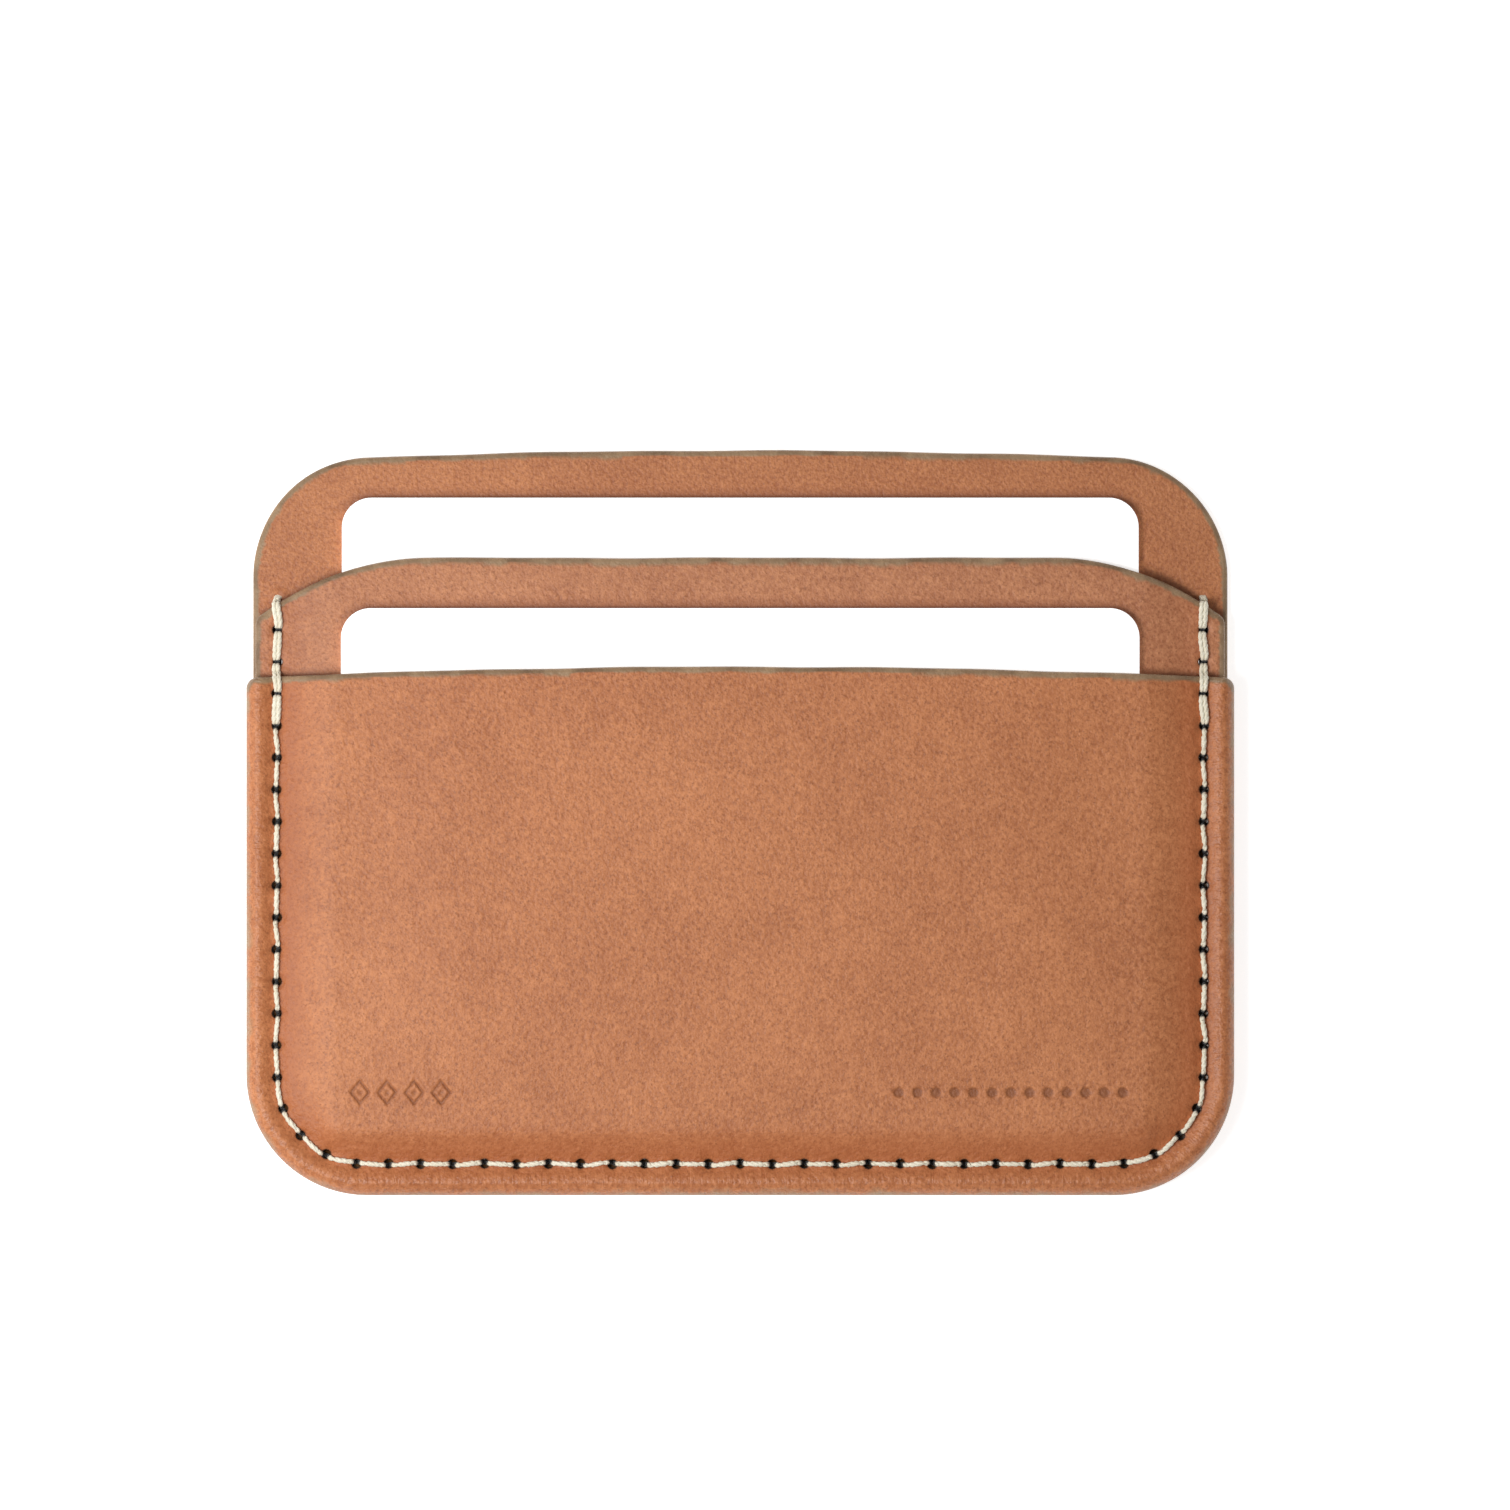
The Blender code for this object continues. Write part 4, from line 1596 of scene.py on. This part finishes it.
@dataclass
class Thread:
    """One waxed thread of the lockstitch, laid from hole to hole and locked in the leather."""

    holder: Holder
    panels: dict[Layer, LeatherPanel]
    side: ThreadSide
    recipe: NodeRecipe
    finish: YarnFinish
    yarn_radius: float = 0.31
    plies: int = 3
    ply_share: float = 0.62
    lay: float = 2.1
    tack: int = 4
    tack_offset: float = 0.21
    dive: float = 1.15
    thin_reach: float = 0.180
    tack_reach: float = 0.125
    thin_slant: float = 0.10
    tack_slant: float = 0.12
    tack_keep: float = 0.50
    end_lead: float = 0.12
    end_depth: float = 0.40
    hold_reach: float = 0.30
    slack: float = 0.04
    slimmest: float = 0.74
    swelling: float = 0.28
    # Depth over which the painted shade on a sinking strand grows.
    sunk_shade_depth: float = 0.30
    ply_sides: int = 7
    seed: int = 7

    def surface(self, x: float, y: float) -> float:
        """Height of the uppermost leather.

        Args:
            x: Place across the width.
            y: Place up the height.

        Returns:
            The height of its face there.
        """
        point = (np.array([x]), np.array([y]))
        for layer in (Layer.FRONT, Layer.MIDDLE, Layer.BACK):
            if self.holder.shapes[layer].depth(*point)[0] > 0.12:
                return float(self.panels[layer].face(*point)[0])
        return self.holder.leather

    def level(self, s: float) -> float:
        """Height of the thread's middle where it lies along the stitch line.

        Args:
            s: Length along the line.

        Returns:
            The height.
        """
        if self.side is ThreadSide.REAR:
            return self.holder.channel - self.yarn_radius + self.slack
        x, y, dx, dy = self.holder.seam.point(s)
        steps = (-self.hold_reach, 0.0, self.hold_reach)
        near = [self.surface(x + dx * step, y + dy * step) for step in steps]
        return max(near) + self.yarn_radius * 0.80

    def spot(self, s: float, sideways: float, height: float, girth: float, sunk_shade: float
             ) -> StrandPoint:
        """A point of the strand beside the stitch line."""
        x, y, dx, dy = self.holder.seam.point(s)
        return StrandPoint(x + sideways * dy, y - sideways * dx, height, girth, sunk_shade)

    def stitch(self, k: int, offset: float, lean: float, fat: float) -> list[StrandPoint]:
        """The strand over one stitch, without the points in its two holes.

        Args:
            k: Number of the stitch.
            offset: Sideways place of this strand.
            lean: How far the stitch slants.
            fat: Share by which it is thicker or thinner.

        Returns:
            Its points from hole k towards hole k + 1.
        """
        reach = self.tack_reach if offset else self.thin_reach
        keep = self.tack_keep if offset else 0.0
        points = []
        ends = [reach * share for share in (0.25, 0.45, 0.6, 0.75, 0.9, 1.05, 1.35)]
        shares = ends + [0.24, 0.37, 0.5, 0.63, 0.76] + [1.0 - share for share in reversed(ends)]
        for share in shares:
            s = (k + share) * self.holder.seam.pitch
            rise = math.sin(math.pi * share)
            near = min(share, 1.0 - share)
            sunk = float(smooth(np.array((reach - near) / (reach * 0.75))))
            if self.side is ThreadSide.FRONT:
                at_first = k == 0 and share < 0.5
                at_last = k == self.holder.seam.stitches - 1 and share > 0.5
                sunk = 0.0 if at_first or at_last else sunk
                height = self.level(s) + 0.05 * rise - self.dive * sunk
            else:
                height = self.level(s) + self.dive * sunk - 0.02 * rise
            sideways = offset * (keep + (1.0 - keep) * rise ** 0.5)
            snake = self.slack * math.sin(2 * math.pi * share)
            sideways += lean * math.cos(math.pi * share) + snake
            girth = fat * (self.slimmest + self.swelling * rise ** 0.5)
            # Painted shade grows as the strand sinks towards its hole.
            sunk_shade = float(smooth(np.array(sunk * self.dive / self.sunk_shade_depth)))
            points.append(self.spot(s, sideways, height, girth, sunk_shade))
        return points

    def lock(self, k: int) -> float:
        """Height at which this thread meets the other one in a hole.

        Args:
            k: Number of the hole.

        Returns:
            The height.
        """
        x, y = self.holder.seam.hole(k)
        point = (np.array([x]), np.array([y]))
        top = self.holder.leather
        for layer in (Layer.MIDDLE, Layer.FRONT):
            if self.holder.shapes[layer].depth(*point)[0] > 0.3:
                top = self.holder.base(layer) + self.holder.leather
        middle = (self.holder.channel + top) / 2
        return middle + (0.1 if self.side is ThreadSide.FRONT else -0.1)

    def end(self, k: int, offset: float) -> list[StrandPoint]:
        """The strand where it rises out of the first hole or sinks into the last one.

        Args:
            k: Number of the hole.
            offset: Sideways place of this strand.

        Returns:
            Its points there.
        """
        lead = -self.end_lead if k == 0 else self.end_lead
        s = k * self.holder.seam.pitch + lead
        height = self.level(s) - self.end_depth
        # Painted shade on the strand's end where it rises out of its hole.
        points = [self.spot(s, offset * 0.5, self.lock(k), 1.45, 0.3),
                  self.spot(s, offset * 0.5, height, 1.35, 0.0)]
        return points if k == 0 else points[::-1]

    def run(self, first: int, last: int, offset: float, draw: np.random.Generator
            ) -> list[StrandPoint]:
        """Points of a strand from hole first to hole last.

        Args:
            first: First hole.
            last: Last hole.
            offset: Sideways place of this strand.
            draw: Source of each stitch's small differences.

        Returns:
            The strand's points.
        """
        pitch = self.holder.seam.pitch
        points: list[StrandPoint] = []
        for k in range(first, last + 1):
            if k in (0, self.holder.seam.stitches) and self.side is ThreadSide.FRONT:
                points += self.end(k, offset)
            else:
                # Inside the hole the strand takes full painted shade.
                points.append(self.spot(k * pitch, offset * 0.5, self.lock(k), 1.05, 1.0))
            if k < last:
                slant = self.tack_slant if offset else self.thin_slant
                lean = slant * (-1) ** k + draw.normal(0.0, 0.04)
                points += self.stitch(k, offset, lean, 1.0 + draw.normal(0.0, 0.05))
        return points

    def strands(self) -> list[list[StrandPoint]]:
        """Lay the thread's strands.

        Returns:
            The points of each; on the front the first and last stitches are doubled.
        """
        draw = np.random.default_rng(self.seed)
        count = self.holder.seam.stitches
        if self.side is ThreadSide.REAR:
            return [self.run(0, count, 0.0, draw)]
        strands = [self.run(self.tack, count - self.tack, 0.0, draw)]
        for first, last in ((0, self.tack), (count - self.tack, count)):
            for offset in (self.tack_offset, -self.tack_offset):
                twin = np.random.default_rng(self.seed + first)
                strands.append(self.run(first, last, offset, twin))
        return strands

    def build(self) -> bpy.types.Object:
        """Lay, dress and file the thread.

        Returns:
            The finished piece.
        """
        strands = self.strands()
        points = [point for strand in strands for point in strand]
        edges: list[Point] = []
        first = 0
        for strand in strands:
            edges += [(first + i, first + i + 1) for i in range(len(strand) - 1)]
            first += len(strand)
        chain = bpy.data.meshes.new(self.side.value + "_path")
        chain.from_pydata([(p.x * MM, p.y * MM, p.z * MM) for p in points], edges, [])
        for label in ("girth", "sunk_shade"):
            store = chain.attributes.new(label, "FLOAT", "POINT")
            store.data.foreach_set("value", [getattr(p, label) for p in points])
        draft = place_piece(self.side.value + "_draft", chain)
        ply = self.yarn_radius * self.ply_share
        self.recipe.apply(draft, {
            "Ply count": self.plies, "Ply radius": ply * MM,
            "Ply spread": (self.yarn_radius - ply) * MM, "Lay length": self.lay * MM,
            "Sides": self.ply_sides, "Material": self.finish.material()})
        piece = settle(draft, self.side.value + "_yarn")
        face_out(piece.data)
        file_piece(piece, "holder", "thread", self.side.value)
        return piece


@dataclass
class Card:
    """Blank card with softened edges."""

    outline: CardOutline
    finish: CardFinish
    edge_round: float = 0.10

    def fall(self, x: Array, y: Array) -> Array:
        """Drop of the rounded edge."""
        short = np.clip(self.edge_round - self.outline.depth(x, y), 0.0, self.edge_round)
        return self.edge_round - np.sqrt(self.edge_round ** 2 - short ** 2)

    def build(self) -> bpy.types.Object:
        """Make and file the card.

        Returns:
            The finished piece.
        """
        outline = self.outline
        insets = [self.edge_round * (1 - math.cos(a)) for a in np.linspace(0, math.pi / 2, 4)]
        rims = [outline.loop(inset) for inset in insets]
        name = outline.node + "_blank"
        mesh = Sheet(rims).mesh(name, lambda x, y: outline.low + self.fall(x, y),
                                lambda x, y: outline.high - self.fall(x, y))
        mesh.materials.append(self.finish.material())
        piece = place_piece(name, mesh)
        file_piece(piece, outline.node, "card_plastic", outline.node)
        return piece


# ------------------------------------------------------------------ studio

@dataclass
class Studio:
    """White sweep, soft light from the lower left, and the camera straight above."""

    view_width: float = 161.9
    view_height: float = 4.0
    camera_height: float = 1000.0
    look_at: Point = (1.58, 7.24)
    sensor: float = 36.0
    sky: float = 0.30
    sweep_sides: int = 96
    sweep_profile: tuple[Point, ...] = (
        (2.60, -0.00003), (2.80, 0.012), (2.95, 0.06), (3.05, 0.15), (3.10, 0.26), (3.12, 0.40))

    def floor(self) -> bpy.types.Object:
        """Lay the paper just under the holder.

        Returns:
            The paper.
        """
        mesh = bpy.data.meshes.new("paper_sweep")
        around = self.sweep_sides
        turns = [2 * math.pi * i / around for i in range(around)]
        rings = [(r * math.cos(turn), r * math.sin(turn), z)
                 for r, z in self.sweep_profile for turn in turns]
        flat = [tuple(range(around))]
        walls = [(row * around + i, row * around + (i + 1) % around,
                  (row + 1) * around + (i + 1) % around, (row + 1) * around + i)
                 for row in range(len(self.sweep_profile) - 1) for i in range(around)]
        mesh.from_pydata(rings, [], flat + [tuple(reversed(wall)) for wall in walls])
        mesh.materials.append(FloorFinish().material())
        paper = place_piece("paper_sweep", mesh)
        return paper

    def camera(self) -> bpy.types.Object:
        """Hang the camera over the holder and make it the scene's.

        Returns:
            The camera.
        """
        data = bpy.data.cameras.new("overhead_camera")
        data.sensor_width = self.sensor
        distance = self.camera_height - self.view_height
        data.lens = self.sensor * distance / self.view_width
        data.clip_start, data.clip_end = 0.01, 20.0
        camera = bpy.data.objects.new("overhead_camera", data)
        camera.location = (self.look_at[0] * MM, self.look_at[1] * MM, self.camera_height * MM)
        bpy.context.scene.collection.objects.link(camera)
        bpy.context.scene.camera = camera
        return camera

    def lamp(self, name: str, place: tuple[float, float, float], size: float,
             power: float) -> None:
        """Hang one square soft light that points at the holder.

        Args:
            name: Its name.
            place: Where it hangs, in metres.
            size: Its side, in metres.
            power: Its power in watts.
        """
        data = bpy.data.lights.new(name, "AREA")
        data.size, data.energy = size, power
        lamp = bpy.data.objects.new(name, data)
        lamp.location = place
        lamp.rotation_euler = (-Vector(place)).to_track_quat("-Z", "Y").to_euler()
        bpy.context.scene.collection.objects.link(lamp)

    def build(self) -> None:
        """Set up the whole studio."""
        self.floor()
        self.camera()
        self.lamp("window", (-0.13, -0.04, 0.28), 0.11, 0.55)
        self.lamp("left_fill", (-0.25, 0.0, 0.25), 0.22, 0.35)
        world = bpy.data.worlds.new("studio")
        world.use_nodes = True
        sky = world.node_tree.nodes["Background"]
        sky.inputs["Color"].default_value = WHITE
        sky.inputs["Strength"].default_value = self.sky
        bpy.context.scene.world = world
        bpy.context.scene.view_settings.view_transform = "Standard"


def main() -> None:
    """Build every piece of the holder and the studio round it."""
    logging.basicConfig(level=logging.INFO, format="%(name)s: %(message)s")
    holder = Holder()
    relief, yarn = leather_relief(), laid_yarn()
    tones = {
        Layer.BACK: LeatherFinish("back_hide", srgb(208, 137, 88), srgb(152, 84, 47), seed=3.0),
        Layer.MIDDLE: LeatherFinish("middle_hide", srgb(209, 142, 99), srgb(155, 91, 57),
                                    seed=11.0),
        Layer.FRONT: LeatherFinish("front_hide", srgb(213, 139, 90), srgb(157, 88, 47),
                                   seed=23.0),
    }
    panels = {layer: LeatherPanel(holder, layer, layer.slot, tones[layer], relief)
              for layer in Layer}
    pieces = [panel.build() for panel in panels.values()]
    cement = CementFinish()
    pieces.append(CementFilm(holder, "rear_cement", Layer.BACK, Layer.MIDDLE, cement).build())
    pieces.append(CementFilm(holder, "front_cement", Layer.MIDDLE, Layer.FRONT, cement).build())
    pieces.append(Thread(holder, panels, ThreadSide.FRONT, yarn, YarnFinish()).build())
    pieces.append(Thread(holder, panels, ThreadSide.REAR, yarn, YarnFinish(),
                         yarn_radius=0.25).build())
    pieces += [Card(outline, CardFinish()).build() for outline in holder.cards.values()]
    Studio().build()
    for piece in pieces:
        LOG.info("%s: %d faces", piece.name, len(piece.data.polygons))


if __name__ == "__main__":
    main()
